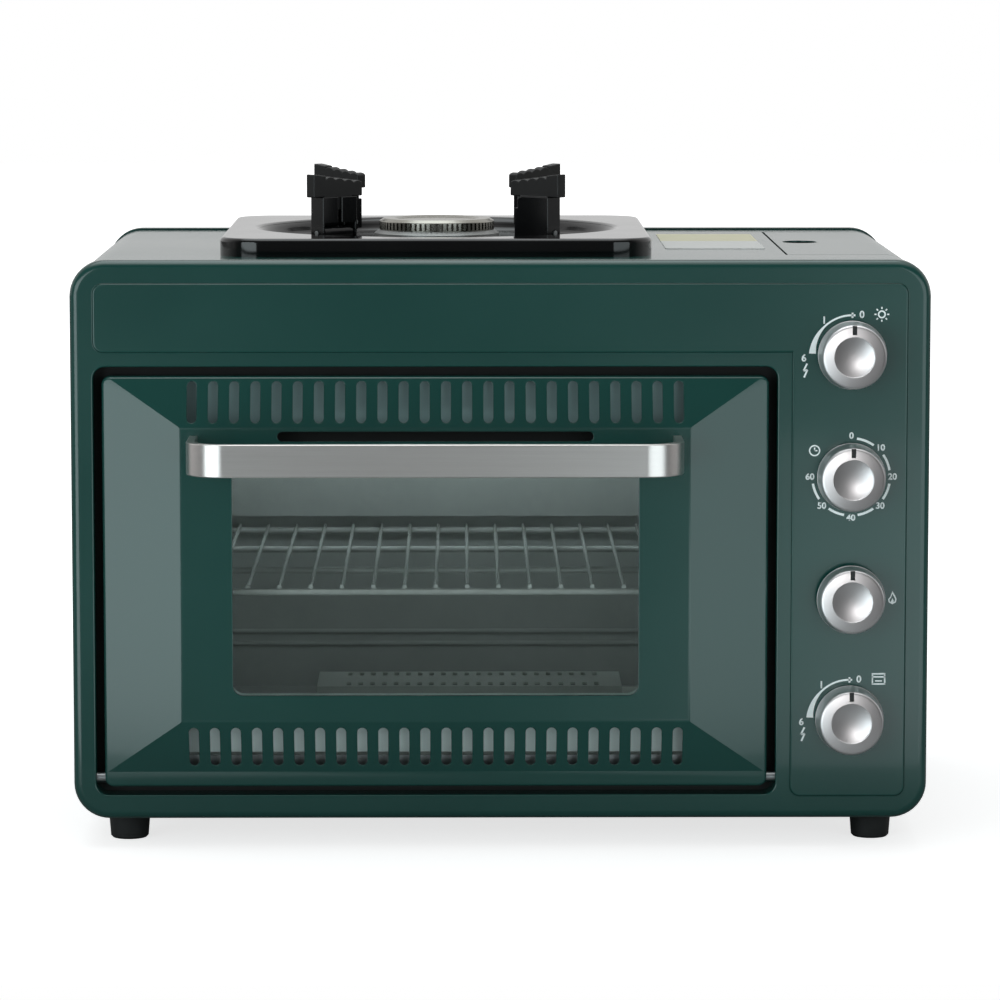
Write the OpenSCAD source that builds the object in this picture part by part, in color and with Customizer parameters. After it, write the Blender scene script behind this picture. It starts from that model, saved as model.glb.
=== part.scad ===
// Portable gas oven with a single-burner stove on its top, at real size in millimetres.
// X runs to the right, Y to the back and Z up. The origin is on the ground under the middle of the whole
// oven, its door handle included.

/* [Body] */
// Width of the body
body_w = 500; // [470:1:540]
// Height of the body above its feet
body_h = 328; // [310:1:350]
// Depth of the body, from the front panel's face to the back panel's face
body_d = 340; // [325:1:380]
// Radius of the body's four long corners
corner_r = 21; // [17:0.5:26]
// Radius of the rolled edge round the front and back panels
edge_r = 5; // [3:0.5:7]
// Thickness of the painted sheet steel
sheet = 1.2; // [0.9:0.1:1.5]
// Depth of the flange that the front and back panels fold over the shell
flange_d = 14; // [10:1:20]

/* [Feet] */
// Height of the rubber feet below the body
foot_h = 17; // [12:1:24]
// Diameter of a foot at its top
foot_d = 25; // [20:1:28]
// Distance from a foot's axis to the side of the body
foot_side = 30; // [27:1:40]
// Distance from a foot's axis to the front or back of the body
foot_end = 38; // [32:1:60]

/* [Front panel] */
// Width of the panel beside the door on the left
rail_w = 13.4; // [12:0.2:15]
// Width of the panel beside the door on the right, which carries the controls
control_w = 89; // [84:1:100]
// Height of the panel under the door opening
sill_h = 14.5; // [12:0.5:18]
// Height of the panel over the door opening
header_h = 62; // [58:1:68]
// Corner radius of the door opening
opening_r = 7; // [4:0.5:10]
// Depth of the lip that turns in round the door opening
lip_d = 16; // [15:0.5:20]
// Height of the pressed field over and beside the door
field_raise = 1.5; // [1.3:0.1:2]
// Distance from the pressed field to the body's outline
field_margin = 13.5; // [10:0.5:16]
// Distance from the pressed field to the door opening
field_gap = 8.5; // [6:0.5:10]

/* [Door] */
// Gap all round between the door and its opening
door_gap = 5.1; // [4.6:0.1:6]
// Thickness of the door's sheet steel
door_sheet = 1; // [0.8:0.1:1.2]
// Height of the raised middle of the door
door_rise = 11.5; // [9:0.5:13]
// Width of the sloping bands at the sides
side_band = 45.8; // [40:0.2:50]
// Width of the sloping band at the top
top_band = 29.3; // [28:0.1:31]
// Width of the sloping band at the bottom
bottom_band = 31.5; // [30:0.1:34]
// Width of the flat strip under the bottom band
door_lip = 9; // [8:0.2:10]
// Corner radius of the door
door_r = 5; // [3:0.5:7]
// Depth of the door's side walls behind the panel's face
door_back = 10; // [9:0.5:11]
// Distance between slots
slot_pitch = 12.27; // [11:0.01:12.5]
// Width of a slot
slot_w = 5.7; // [4:0.1:7]
// Length of a slot
slot_len = 23.4; // [18:0.1:24]
// Height of the long vent behind the handle
vent_h = 5.8; // [4:0.1:6]
// Length of the long vent behind the handle
vent_w = 183; // [150:1:200]
// Distance from the top of the raised middle to the long vent
vent_drop = 2; // [1.5:0.1:3]
// Distance from the hinge axis to the door's bottom edge
axis_up = 4.5; // [4.2:0.1:5]
// Distance from the hinge axis to the panel's face
axis_back = 6; // [5.6:0.1:6.4]
// Radius of the door's hinge pins
hinge_pin_r = 3; // [2.5:0.1:3.2]

/* [Window] */
// Distance from the raised middle's sides to the window
window_side = 30; // [26:1:40]
// Distance from the raised middle's bottom to the window
window_low = 15; // [12:0.5:20]
// Distance from the raised middle's top to the window
window_high = 18; // [16:0.5:24]
// Corner radius of the window
window_r = 6; // [4:0.5:8]
// Thickness of the glass
glass_t = 4; // [3:0.5:5]
// Distance that the glass reaches past the window's edge
glass_lap = 9; // [7:0.5:10]
// Thickness of the seal in front of the glass
seal_t = 1.5; // [1:0.1:2]

/* [Handle] */
// Distance from the handle's ends to the sides of the raised middle
handle_inset = 5.4; // [4:0.2:10]
// Height of the handle's flat bar
handle_h = 19; // [16:0.5:22]
// Thickness of the handle's bar
handle_t = 5; // [4.4:0.1:6]
// Distance from the door to the front of the handle
handle_reach = 52; // [44:1:60]
// Outer radius of the handle's bends
handle_r = 22; // [16:1:26]
// Distance from the top of the raised middle to the handle
handle_drop = 4.3; // [3.5:0.1:8]
// Radius of the handle's screws
screw_r = 1.6; // [1.4:0.1:1.8]
// Depth of the screws' bores in the handle
screw_bore = 14; // [10:0.5:20]

/* [Oven] */
// Thickness of the oven's inner sheet
liner_t = 0.8; // [0.6:0.1:1]
// Distance from the door opening to the oven's walls
liner_inset = 14; // [13:0.5:16]
// Distance from the oven's back wall to the back panel
flue_d = 11; // [10:1:16]
// Height of the rack above the oven's floor
rack_rise = 101; // [95:1:110]
// Distance between the rack's positions
rack_step = 42; // [36:1:46]
// Radius of the rack's frame wire
frame_wire_r = 2; // [1.6:0.1:2.4]
// Radius of the rack's long wires
long_wire_r = 1.3; // [1:0.1:1.6]
// Distance between the rack's long wires
wire_pitch = 18.4; // [15:0.1:22]
// Gap between the rack and the oven's side walls
rack_play = 3; // [2:0.5:4]
// Distance from the panel's face to the front of the rack
rack_front = 20; // [19:0.5:26]
// Reach of the rack's guides from the walls
guide_w = 8; // [7:0.5:10]
// Height of a guide
guide_h = 5; // [4:0.5:6]

/* [Oven burner] */
// Radius of the burner tube
tube_r = 9; // [7:0.5:10]
// Height of the tube's axis above the oven's floor
tube_rise = 17.5; // [14:0.5:20]
// Distance from the panel's face to the tube
tube_depth = 150; // [130:1:200]
// Length of the tube inside the oven
tube_len = 258; // [220:1:300]
// Number of flame ports in a row
port_count = 24; // [16:1:28]
// Width of the flame spreader over the tube
spreader_w = 186; // [170:1:220]
// Depth of the flame spreader
spreader_d = 60; // [50:1:80]

/* [Controls] */
// Distance from the controls to the right side of the body
knob_side = 46; // [43:0.5:50]
// Distance from the top knob to the top of the body
knob_drop = 55; // [50:0.5:60]
// Distance between the controls
knob_pitch = 71.2; // [64:0.2:74]
// Diameter of a knob at its back
knob_d = 40; // [34:0.5:42]
// Diameter of a knob's face
knob_face_d = 37; // [30:0.5:38]
// Distance from the panel to a knob's face
knob_h = 19; // [17:0.5:22]
// Gap between a knob and the panel
knob_gap = 1.5; // [1:0.1:2]
// Diameter of the dish in a knob's face
dish_d = 22; // [16:0.5:26]
// Travel of the safety button
button_travel = 5; // [3:0.5:6]
// Radius of the control shafts
shaft_r = 3; // [2.5:0.1:3.5]

/* [Cartridge hatch] */
// Width of the hatch from the side of the body
hatch_w = 80; // [78:0.5:82]
// Distance from the panel's face to the hatch
hatch_front = 68; // [64:1:76]
// Length of the hatch
hatch_len = 232; // [215:1:240]
// Distance from the top of the body to the hatch's hinge
hatch_drop = 29; // [27:0.5:34]
// Gap round the hatch's lid
hatch_gap = 1.2; // [0.8:0.1:1.8]
// Width of the finger hole in the lid
finger_w = 21; // [18:0.5:24]
// Length of the finger hole in the lid
finger_len = 26; // [25:0.5:32]
// Distance from the lid's free edge to the middle of the finger hole
finger_inset = 17; // [14:0.5:30]
// Distance from the front of the hatch to the middle of the finger hole
finger_run = 128; // [60:1:170]
// Diameter of the cartridges that the bay holds
cartridge_d = 67; // [60:1:68]

/* [Drip tray] */
// Width of the tray
tray_w = 256; // [250:1:262]
// Depth of the tray
tray_d = 257; // [250:1:262]
// Corner radius of the tray
tray_r = 25; // [20:1:30]
// Distance from the panel's face to the tray
tray_front = 47; // [40:1:54]
// Height of the tray's flat top above the body
rim_h = 10.8; // [9:0.2:11.4]
// Radius of the tray's rolled edge
rim_r = 2.5; // [1.6:0.1:4]
// Radius of the round dish in the tray
dish_r = 109; // [108:0.5:112]
// Height of the dish's floor above the body
dish_floor = 2.2; // [1.6:0.1:3]
// Thickness of the tray's enamelled sheet
tray_sheet = 1; // [0.8:0.1:1.4]

/* [Stove burner] */
// Diameter of the burner's cap
cap_d = 70.5; // [60:0.5:76]
// Height of the cap's top above the body
cap_top = 16.2; // [14:0.2:18]
// Height of the band of fine teeth
tooth_h = 5; // [3.5:0.5:6]
// Number of teeth
tooth_count = 68; // [48:1:72]
// Distance from the top of the body down to the mixing tube's axis
mixer_drop = 46; // [42:1:48]
// Radius of the mixing tube
mixer_r = 12; // [10:0.5:13]

/* [Pan supports] */
// Distance from the burner's axis to the middle of a support
support_ring = 86.5; // [84:0.5:88]
// Length of a support's toothed head
head_len = 40; // [36:1:42]
// Thickness of the head
head_t = 7; // [5:0.5:7.5]
// Height of the head's outer end above the body
head_top = 46.2; // [42:0.2:50]
// Height of the head's outer end, top to bottom
head_h = 11.5; // [10:0.5:13]
// Fall of the head's top from its outer end to its inner end
head_fall = 4.5; // [3:0.5:6]
// Width of a support's leg
leg_w = 28; // [24:1:31]
// Thickness of the leg's sheet
leg_t = 1.5; // [1.2:0.1:1.8]
// Width of the slit at the leg's open side
leg_slit = 3; // [2:0.5:6]
// Radius of a support's pivot pin
pivot_r = 1.5; // [1.2:0.1:1.6]
// Angle that a support folds sideways
fold_angle = 80; // [60:1:82]

/* [Hidden] */

// Smoothness of round faces and of small round faces
$fn = 64;
SMALL = 32;
// Overshoot of a cut past the face that it opens, and clearance of a running fit
CUT = 1;
FIT = 0.05;
// Height of a screw's head, and radius of the hole for a foot's screw
screw_head_h = 1.6;
foot_bore_r = 2.5;

// Places that the whole oven shares
top_z = foot_h + body_h;
mid_z = foot_h + body_h / 2;
deck_z = top_z - sheet;
door_face = field_raise + door_rise;
front_y = (door_face + handle_reach - body_d - screw_head_h) / 2;
back_y = front_y + body_d;
inner_w = body_w - 4 * sheet;
floor_z = foot_h + 3 * sheet;

// Door opening
open_w = body_w - rail_w - control_w;
open_h = body_h - sill_h - header_h;
open_x = (rail_w - control_w) / 2;
open_z = foot_h + sill_h + open_h / 2;
open_left = open_x - open_w / 2;
open_right = open_x + open_w / 2;
open_low = open_z - open_h / 2;

// Door
door_w = open_w - 2 * door_gap;
door_low = open_low + door_gap;
door_high = open_low + open_h - door_gap;
flat_w = door_w - 2 * side_band;
flat_low = door_low + door_lip + bottom_band;
flat_high = door_high - top_band;
face_y = front_y - door_face;
axis_y = front_y + axis_back;
axis_z = door_low + axis_up;
slot_count = floor((flat_w - slot_w) / slot_pitch) + 1;

// Window
window_w = flat_w - 2 * window_side;
window_h = flat_high - flat_low - window_low - window_high;
window_z = flat_low + window_low + window_h / 2;
glass_y = face_y + door_sheet + seal_t;
glass_grow = glass_lap - 2;

// Handle
handle_w = flat_w - 2 * handle_inset;
handle_low = flat_high - handle_drop - handle_h;

// Oven cavity
liner_w = open_w - 2 * liner_inset;
liner_h = open_h - 2 * liner_inset;
liner_y = front_y + lip_d;
liner_back = back_y - flue_d;
oven_floor = open_z - liner_h / 2;
liner_top = open_z + liner_h / 2 + liner_t;
flue_pitch = 20;

// Rack
rack_z = oven_floor + rack_rise + frame_wire_r;
rack_w = liner_w - 2 * rack_play;
rack_y = front_y + rack_front;
rack_d = liner_back - liner_t - rack_play - rack_y;
wire_count = floor((rack_w / 2 - 3 * frame_wire_r) / wire_pitch);

// Oven burner
tube_y = front_y + tube_depth;
tube_z = oven_floor + tube_rise;
tube_left = open_x + liner_w / 2 - tube_len;
spreader_z = tube_z + tube_r + 4;

// Partition and controls
bracket_t = 5;
wall_x = open_right + sheet + bracket_t + 0.2;
knob_x = body_w / 2 - knob_side;
panel_y = front_y - field_raise;
valve_y = front_y + 16;
shaft_seat = 12;
knob_front = 4;
turn_y = panel_y - knob_gap;
turn_deep = knob_h - knob_gap;
push_y = panel_y - button_travel - 0.8;
push_deep = knob_h - button_travel - 0.8;
function knob_z(n) = top_z - knob_drop - n * knob_pitch;

// Hatch and cartridge bay
hatch_x = body_w / 2 - hatch_w;
hatch_y = front_y + hatch_front;
hinge_in = 1.5;
hinge_end = 22;
hinge_x = body_w / 2 - sheet - hinge_in;
hinge_z = top_z - hatch_drop;
knuckle_r = 1.4;
hatch_pin_r = 0.8;
bay_x = wall_x + sheet;
bay_w = inner_w / 2 - bay_x;
bay_floor = knob_z(0) - cartridge_d / 2 - 3;

// Tray and stove burner
tray_x = open_x;
tray_y = front_y + tray_front + tray_d / 2;
dish_z = deck_z + dish_floor;
mixer_z = deck_z - mixer_drop;
pot_r = cap_d / 2 - 3;

// Gas pipes: the stove's runs at the mixing tube's height, and the oven's at the burner tube's
pipe_r = 3;
pipe_bend = 8;
outlet_y = front_y + 42;
stove_turn_x = open_right - 16;
mixer_mouth = stove_turn_x - 10;
jet_len = 6;
tube_end = wall_x + 14;
valve_w = 24;
valve_d = 28;
valve_nut = 8;

// Pan supports, in the frame of one support: X runs outwards, and Z is zero at the pivot
pivot_rise = rim_h - dish_floor;
pivot_z = dish_z + pivot_rise;
lug_r = 5;
leg_face = 6;
leg_top = deck_z + head_top - head_h - pivot_z - 2.4;

// Draws an upright profile, X across and Y up, as a wall from y that runs back by depth.
module wall_y(y, depth) {
    translate([0, y + depth, 0]) rotate([90, 0, 0]) linear_extrude(depth) children();
}

// Draws a cylinder whose axis runs back from the point at p.
module rod_y(p, r, len) {
    translate(p) rotate([-90, 0, 0]) cylinder(r = r, h = len);
}

// Draws a cylinder whose axis runs to the right from the point at p.
module rod_x(p, r, len) {
    translate(p) rotate([0, 90, 0]) cylinder(r = r, h = len);
}

// Draws a rectangle with round corners about the origin.
module round_rect(w, h, r) {
    square([w - 2 * r, h], center = true);
    square([w, h - 2 * r], center = true);
    for (sx = [-1, 1], sy = [-1, 1])
        translate([sx * (w / 2 - r), sy * (h / 2 - r)]) circle(r);
}

// Draws a slot with round ends along Y, about the origin.
module slot(w, len) {
    square([w, len - w], center = true);
    for (s = [-1, 1])
        translate([0, s * (len - w) / 2]) circle(w / 2);
}

// Sweeps a profile round a rounded rectangle that lies flat. The profile's X is the distance out from the
// corners' centres, and its Y is the height.
module sweep_round_rect(w, h, r) {
    run_x = w - 2 * r;
    run_y = h - 2 * r;
    for (side = [[0, run_x, run_y], [90, run_y, run_x], [180, run_x, run_y], [270, run_y, run_x]])
        rotate([0, 0, side[0]]) {
            translate([side[1] / 2, side[2] / 2, 0]) rotate([90, 0, 0]) linear_extrude(side[2]) children();
            translate([side[1] / 2, side[2] / 2, 0]) rotate_extrude(angle = 90) children();
        }
}

// Draws a gas pipe through points whose runs are square to each other, with a bend at each inner point.
module pipe(points) {
    last = len(points) - 1;
    for (n = [0:last - 1]) {
        run = points[n + 1] - points[n];
        way = run / norm(run);
        skip = n > 0 ? pipe_bend : 0;
        len = norm(run) - skip - (n < last - 1 ? pipe_bend : 0);
        translate(points[n] + skip * way) rotate([0, acos(way[2]), atan2(way[1], way[0])])
            cylinder(r = pipe_r, h = len, $fn = SMALL);
    }
    for (n = [1:1:last - 1])
        pipe_elbow(points[n], points[n] - points[n - 1], points[n + 1] - points[n]);
}

// Draws the bend of a pipe that reaches the corner along one run and leaves it along the next.
module pipe_elbow(corner, run_in, run_out) {
    a = -run_out / norm(run_out);
    b = run_in / norm(run_in);
    c = cross(a, b);
    middle = corner - pipe_bend * (a + b);
    multmatrix([[a[0], b[0], c[0], middle[0]], [a[1], b[1], c[1], middle[1]], [a[2], b[2], c[2], middle[2]]])
        rotate_extrude(angle = 90, $fn = SMALL) translate([pipe_bend, 0]) circle(pipe_r);
}

// Draws a pressed panel that lies flat with its face up at Z zero and its flange hanging down.
module pressed_panel() {
    translate([0, 0, -sheet]) linear_extrude(sheet)
        round_rect(body_w - 2 * edge_r, body_h - 2 * edge_r, corner_r - edge_r);
    sweep_round_rect(body_w, body_h, corner_r) {
        intersection() {
            translate([corner_r - edge_r, -edge_r]) difference() {
                circle(edge_r);
                circle(edge_r - sheet);
            }
            translate([corner_r - edge_r, -edge_r]) square(edge_r);
        }
        translate([corner_r - sheet, -flange_d]) square([sheet, flange_d - edge_r]);
    }
}

// Draws the outline of the pressed field over and beside the door, drawn in by inset.
module field_outline(inset) {
    r = 6;
    left = -body_w / 2 + field_margin + inset;
    right = body_w / 2 - field_margin - inset;
    high = top_z - field_margin - inset;
    low = foot_h + field_margin + inset;
    band_low = open_low + open_h + field_gap + inset;
    column_left = open_right + field_gap + inset;
    translate([(left + right) / 2, (high + band_low) / 2]) round_rect(right - left, high - band_low, r);
    translate([(column_left + right) / 2, (high + low) / 2]) round_rect(right - column_left, high - low, r);
}

// Draws the outline of the door opening, let out by grow.
module opening_outline(grow) {
    translate([open_x, open_z]) round_rect(open_w + 2 * grow, open_h + 2 * grow, opening_r + grow);
}

// Front panel, pressed in one piece with its rolled edge, the raised field and the lip of the opening
module front_panel() {
    color("darkslategray") difference() {
        union() {
            translate([0, front_y, mid_z]) rotate([90, 0, 0]) pressed_panel();
            wall_y(panel_y, field_raise + sheet) field_outline(0);
            wall_y(front_y, lip_d) opening_outline(sheet);
        }
        wall_y(panel_y + sheet, field_raise + CUT) field_outline(sheet);
        wall_y(front_y - CUT, lip_d + 2 * CUT) opening_outline(0);
        for (n = [0:3])
            rod_y([knob_x, panel_y - CUT, knob_z(n)], shaft_r + 1.5, field_raise + sheet + 2 * CUT);
        rod_x([open_left - 3 * sheet, axis_y, axis_z], hinge_pin_r + 0.6, open_w + 6 * sheet);
    }
}

// Wrapped shell of the top, the sides and the bottom corners, cut for the stove burner and the hatch
module body_shell() {
    lap = foot_side + foot_d / 2 + 6;
    color("darkslategray") difference() {
        wall_y(front_y + edge_r, body_d - 2 * edge_r) translate([0, mid_z]) difference() {
            round_rect(body_w - 2 * sheet, body_h - 2 * sheet, corner_r - sheet);
            round_rect(inner_w, body_h - 4 * sheet, corner_r - 2 * sheet);
        }
        translate([-body_w / 2 + lap, front_y - CUT, foot_h - CUT])
            cube([body_w - 2 * lap, body_d + 2 * CUT, 3 * sheet + 2 * CUT]);
        translate([tray_x, tray_y, deck_z - 2 * sheet]) cylinder(r = pot_r + 14, h = 4 * sheet);
        translate([hatch_x, hatch_y, hinge_z - 2.2]) cube([hatch_w + CUT, hatch_len, hatch_drop + CUT + 2.2]);
        for (sx = [-1, 1], y = [front_y + foot_end, back_y - foot_end])
            translate([sx * (body_w / 2 - foot_side), y, foot_h - CUT])
                cylinder(r = foot_bore_r, h = 4 * sheet + 2 * CUT, $fn = SMALL);
    }
}

// Base plate on the shell's bottom lips, with air slots for the oven burner
module base_plate() {
    plate_w = body_w - 2 * (corner_r + 12);
    plate_y = front_y + flange_d;
    plate_d = body_d - 2 * flange_d;
    color("gray") difference() {
        translate([-plate_w / 2, plate_y, foot_h + 2 * sheet]) cube([plate_w, plate_d, sheet]);
        for (n = [-4:4], y = [front_y + 100, front_y + 200])
            translate([open_x + n * 36, y, foot_h]) linear_extrude(10) rotate(90) slot(6, 26);
    }
}

// Back panel with its louvre slots and the flue outlet
module back_panel() {
    vent_pitch = 12;
    color("darkslategray") difference() {
        translate([0, back_y, mid_z]) rotate([-90, 0, 0]) pressed_panel();
        for (n = [-6:6])
            wall_y(back_y - 2 * sheet, 4 * sheet) translate([open_x + n * flue_pitch, top_z - 70])
                slot(6, 34);
        for (n = [-2:2])
            wall_y(back_y - 2 * sheet, 4 * sheet) translate([knob_x - 6 + n * vent_pitch, mid_z - 60])
                slot(5, 50);
    }
}

// Wall between the oven and the gas side, with a hole for each pipe
module partition() {
    color("lightgray") difference() {
        translate([wall_x, front_y + lip_d + 2, floor_z])
            cube([sheet, body_d - lip_d - 4 - sheet, deck_z - sheet - floor_z]);
        rod_x([wall_x - CUT, tube_y, tube_z], tube_r + 1.5, sheet + 2 * CUT);
        rod_x([wall_x - CUT, outlet_y, mixer_z], pipe_r + 1.5, sheet + 2 * CUT);
    }
}

// Four rubber feet, each hollowed for its screw
module feet() {
    well = 6;
    top = foot_h + sheet;
    color("dimgray") for (sx = [-1, 1], y = [front_y + foot_end, back_y - foot_end])
        translate([sx * (body_w / 2 - foot_side), y, 0]) rotate_extrude() polygon([
            [well, 0], [foot_d / 2 - 2.5, 0], [foot_d / 2 - 1.3, 1.2], [foot_d / 2, top - 1],
            [foot_d / 2, top], [foot_bore_r, top], [foot_bore_r, well], [well, well]
        ]);
}

// Screws that hold the back panel to the shell's inner corners
module case_screws() {
    color("silver") for (sx = [-1, 1], z = [foot_h + 26, mid_z, top_z - 26])
        rod_y([sx * (body_w / 2 - 14), back_y, z], 3.5, screw_head_h, $fn = SMALL);
}

// Open-fronted inner box of the oven, with its front frame, ribbed back and flue holes
module oven_liner() {
    color("silver") difference() {
        union() {
            wall_y(liner_y, liner_back - liner_y) translate([open_x, open_z])
                round_rect(liner_w + 2 * liner_t, liner_h + 2 * liner_t, 6);
            wall_y(liner_y, liner_t) opening_outline(sheet);
        }
        wall_y(liner_y - CUT, liner_back - liner_y - liner_t + CUT) translate([open_x, open_z])
            round_rect(liner_w, liner_h, 5);
        for (n = [-7:7])
            wall_y(liner_back - 2 * liner_t, 4 * liner_t) translate([open_x + n * flue_pitch, liner_top - 24])
                slot(5, 22);
        rod_x([open_x + liner_w / 2 - CUT, tube_y, tube_z], tube_r + 0.5, liner_t + 2 * CUT);
    }
    color("silver") for (z = [oven_floor + 28, oven_floor + 36])
        rod_x([open_x - liner_w / 2 + 6, liner_back - liner_t, z], 1.6, liner_w - 12, $fn = SMALL);
}

// Guides pressed along the oven's side walls in three rack positions
module rack_guides() {
    color("silver") for (side = [-1, 1], n = [-1:1])
        translate([open_x + side * liner_w / 2, liner_y + 6, oven_floor + rack_rise + n * rack_step])
            mirror([(side + 1) / 2, 0, 0]) rotate([-90, 0, 0]) linear_extrude(rack_d - 12) {
                square([guide_w - guide_h / 2, guide_h]);
                translate([guide_w - guide_h / 2, guide_h / 2]) circle(guide_h / 2, $fn = SMALL);
            }
}

// Plate that stands off the back wall and hides the flue holes
module flue_baffle() {
    side_gap = 15;
    stand_off = 10;
    foot_w = 10;
    foot_len = 16;
    plate_w = liner_w - 2 * side_gap;
    low = rack_z + stand_off;
    high = open_z + liner_h / 2 - 4;
    y = liner_back - liner_t - stand_off;
    color("silver") {
        wall_y(y, liner_t) translate([open_x, (low + high) / 2]) round_rect(plate_w, high - low, 4);
        for (s = [-1, 1])
            translate([open_x + s * (plate_w / 2 - 12) - foot_w / 2, y + liner_t, (low + high - foot_len) / 2])
                cube([foot_w, stand_off - liner_t, foot_len]);
    }
}

// Rack with a round-cornered wire frame, two cross bars and long wires laid on top
module wire_rack() {
    bend = 12;
    color("silver") {
        translate([open_x, rack_y + rack_d / 2, rack_z]) {
            sweep_round_rect(rack_w, rack_d, bend) translate([bend - frame_wire_r, 0])
                circle(frame_wire_r, $fn = SMALL);
            for (n = [-1, 1])
                rod_x([-rack_w / 2 + frame_wire_r, n * rack_d / 6, 0], frame_wire_r, rack_w - 2 * frame_wire_r,
                    $fn = SMALL);
            for (n = [-wire_count:wire_count])
                rod_y([n * wire_pitch, frame_wire_r - rack_d / 2, frame_wire_r + long_wire_r - 0.3],
                    long_wire_r, rack_d - 2 * frame_wire_r, $fn = SMALL);
        }
    }
}

// Hollow burner tube with a row of flame ports on each side, closed at its left end
module burner_tube() {
    wall = 1;
    pitch = (spreader_w - 20) / (port_count - 1);
    color("silver") difference() {
        rod_x([tube_left, tube_y, tube_z], tube_r, tube_end - tube_left);
        rod_x([tube_left + wall, tube_y, tube_z], tube_r - wall, tube_end - tube_left);
        for (n = [0:port_count - 1], turn = [-50, 50])
            translate([tube_left + 12 + n * pitch, tube_y, tube_z]) rotate([turn, 0, 0])
                cylinder(r = 1.2, h = tube_r + CUT, $fn = 16);
    }
}

// Folded plate over the burner tube, standing on an end leg at each side that the tube passes through
module flame_spreader() {
    plate = 1.2;
    edge_h = 4;
    leg_d = 32;
    pitch = (spreader_w - 20) / (port_count - 1);
    color("silver") {
        difference() {
            translate([tube_left, tube_y - spreader_d / 2, spreader_z]) cube([spreader_w, spreader_d, plate]);
            for (n = [1:port_count - 2], s = [-1, 1])
                translate([tube_left + 12 + n * pitch, tube_y + s * spreader_d / 3, spreader_z - CUT])
                    linear_extrude(plate + 2 * CUT) slot(3, 12, $fn = 16);
        }
        for (s = [-1, 1])
            translate([tube_left, tube_y + s * (spreader_d - plate) / 2 - plate / 2, spreader_z - edge_h])
                cube([spreader_w, plate, edge_h]);
        for (x = [tube_left + 1, tube_left + spreader_w - 2])
            difference() {
                translate([x, tube_y - leg_d / 2, oven_floor]) cube([plate, leg_d, spreader_z - oven_floor]);
                rod_x([x - CUT, tube_y, tube_z], tube_r + FIT, plate + 2 * CUT);
            }
    }
}

// How far the corner of a raised flat draws in when the sheet is followed at depth wall inside
function corner_draw(run, wall) = wall * (sqrt(run * run + door_rise * door_rise) - run) / door_rise;

// Height of the slope at depth wall inside the sheet, over the side wall's inner face
function slope_lift(run, wall) = wall * (sqrt(run * run + door_rise * door_rise) - door_rise) / run;

// Draws the outline of the door, drawn in by wall, with its corners' radius let out by ease.
module door_outline(wall, ease = 0) {
    translate([open_x, (door_low + door_high) / 2])
        round_rect(door_w - 2 * wall, door_high - door_low - 2 * wall, door_r - wall + ease);
}

// Solid form of the door, drawn in by wall: a mitred raised panel, from crossed side and plan profiles,
// with its corners rounded
module door_form(wall) {
    plan_half = door_w / 2 - wall;
    plan_flat = flat_w / 2 - corner_draw(side_band, wall);
    rise = door_face - wall;
    edge_lift = field_raise - slope_lift(side_band, wall);
    back = -door_back - (wall > 0 ? CUT : 0);
    lip_top = door_low + door_lip + corner_draw(bottom_band, wall);
    intersection() {
        translate([open_x, front_y, 0]) linear_extrude(top_z) mirror([0, 1]) polygon([
            [-plan_half, back], [plan_half, back], [plan_half, edge_lift], [plan_flat, rise],
            [-plan_flat, rise], [-plan_half, edge_lift]
        ]);
        translate([-body_w / 2, front_y, 0]) rotate([90, 0, 90]) linear_extrude(body_w) mirror([1, 0]) polygon([
            [back, door_low + wall], [field_raise - wall, door_low + wall], [field_raise - wall, lip_top],
            [rise, flat_low + corner_draw(bottom_band, wall)], [rise, flat_high - corner_draw(top_band, wall)],
            [field_raise - slope_lift(top_band, wall), door_high - wall], [back, door_high - wall]
        ]);
        wall_y(face_y - CUT, door_face + door_back + 3 * CUT) door_outline(wall);
    }
}

// Draws one row of upright slots through the door skin, centred on the height z.
module slot_row(z) {
    for (n = [0:slot_count - 1])
        wall_y(face_y - CUT, door_face + door_back)
            translate([open_x + (n - (slot_count - 1) / 2) * slot_pitch, z]) slot(slot_w, slot_len);
}

// Draws the outline of the window, let out by grow.
module window_outline(grow) {
    translate([open_x, window_z]) round_rect(window_w + 2 * grow, window_h + 2 * grow, window_r + grow);
}

// Places its children at the four screws of the handle, with Z running back into the door.
module at_handle_screws() {
    for (sx = [-1, 1], z = [handle_low + handle_h / 4, handle_low + handle_h * 3 / 4])
        translate([open_x + sx * (handle_w - handle_t) / 2, face_y, z]) rotate([-90, 0, 0]) children();
}

// Door's outer skin, a mitred raised panel with its slots, the window and the long vent
module door_skin() {
    color("darkslategray") difference() {
        door_form(0);
        door_form(door_sheet);
        wall_y(face_y - CUT, 3 * CUT + door_sheet) window_outline(0);
        slot_row(flat_high + top_band / 2);
        slot_row(door_low + door_lip + bottom_band / 2);
        wall_y(face_y - CUT, 3 * CUT + door_sheet)
            translate([open_x, flat_high - vent_drop - vent_h / 2]) rotate(90) slot(vent_h, vent_w);
        at_handle_screws() translate([0, 0, -CUT]) cylinder(r = screw_r + 0.3, h = 3 * CUT, $fn = SMALL);
        rod_x([open_x - door_w / 2 - CUT, axis_y, axis_z], hinge_pin_r + FIT, door_w + 2 * CUT);
    }
}

// Door's inner panel, with the box that holds the glass against its seal
module door_inner() {
    low = door_low + door_lip + 10;
    high = door_high - door_sheet - 0.2;
    plate_w = door_w - 2 * door_sheet - 0.4;
    box_y = glass_y + glass_t;
    box_grow = 3;
    color("silver") difference() {
        union() {
            wall_y(front_y + door_back - door_sheet, door_sheet) translate([open_x, (low + high) / 2])
                round_rect(plate_w, high - low, door_r - door_sheet);
            wall_y(box_y, front_y + door_back - box_y) window_outline(box_grow);
        }
        wall_y(box_y - CUT, front_y + door_back - box_y + 2 * CUT) window_outline(box_grow - door_sheet);
    }
}

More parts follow.
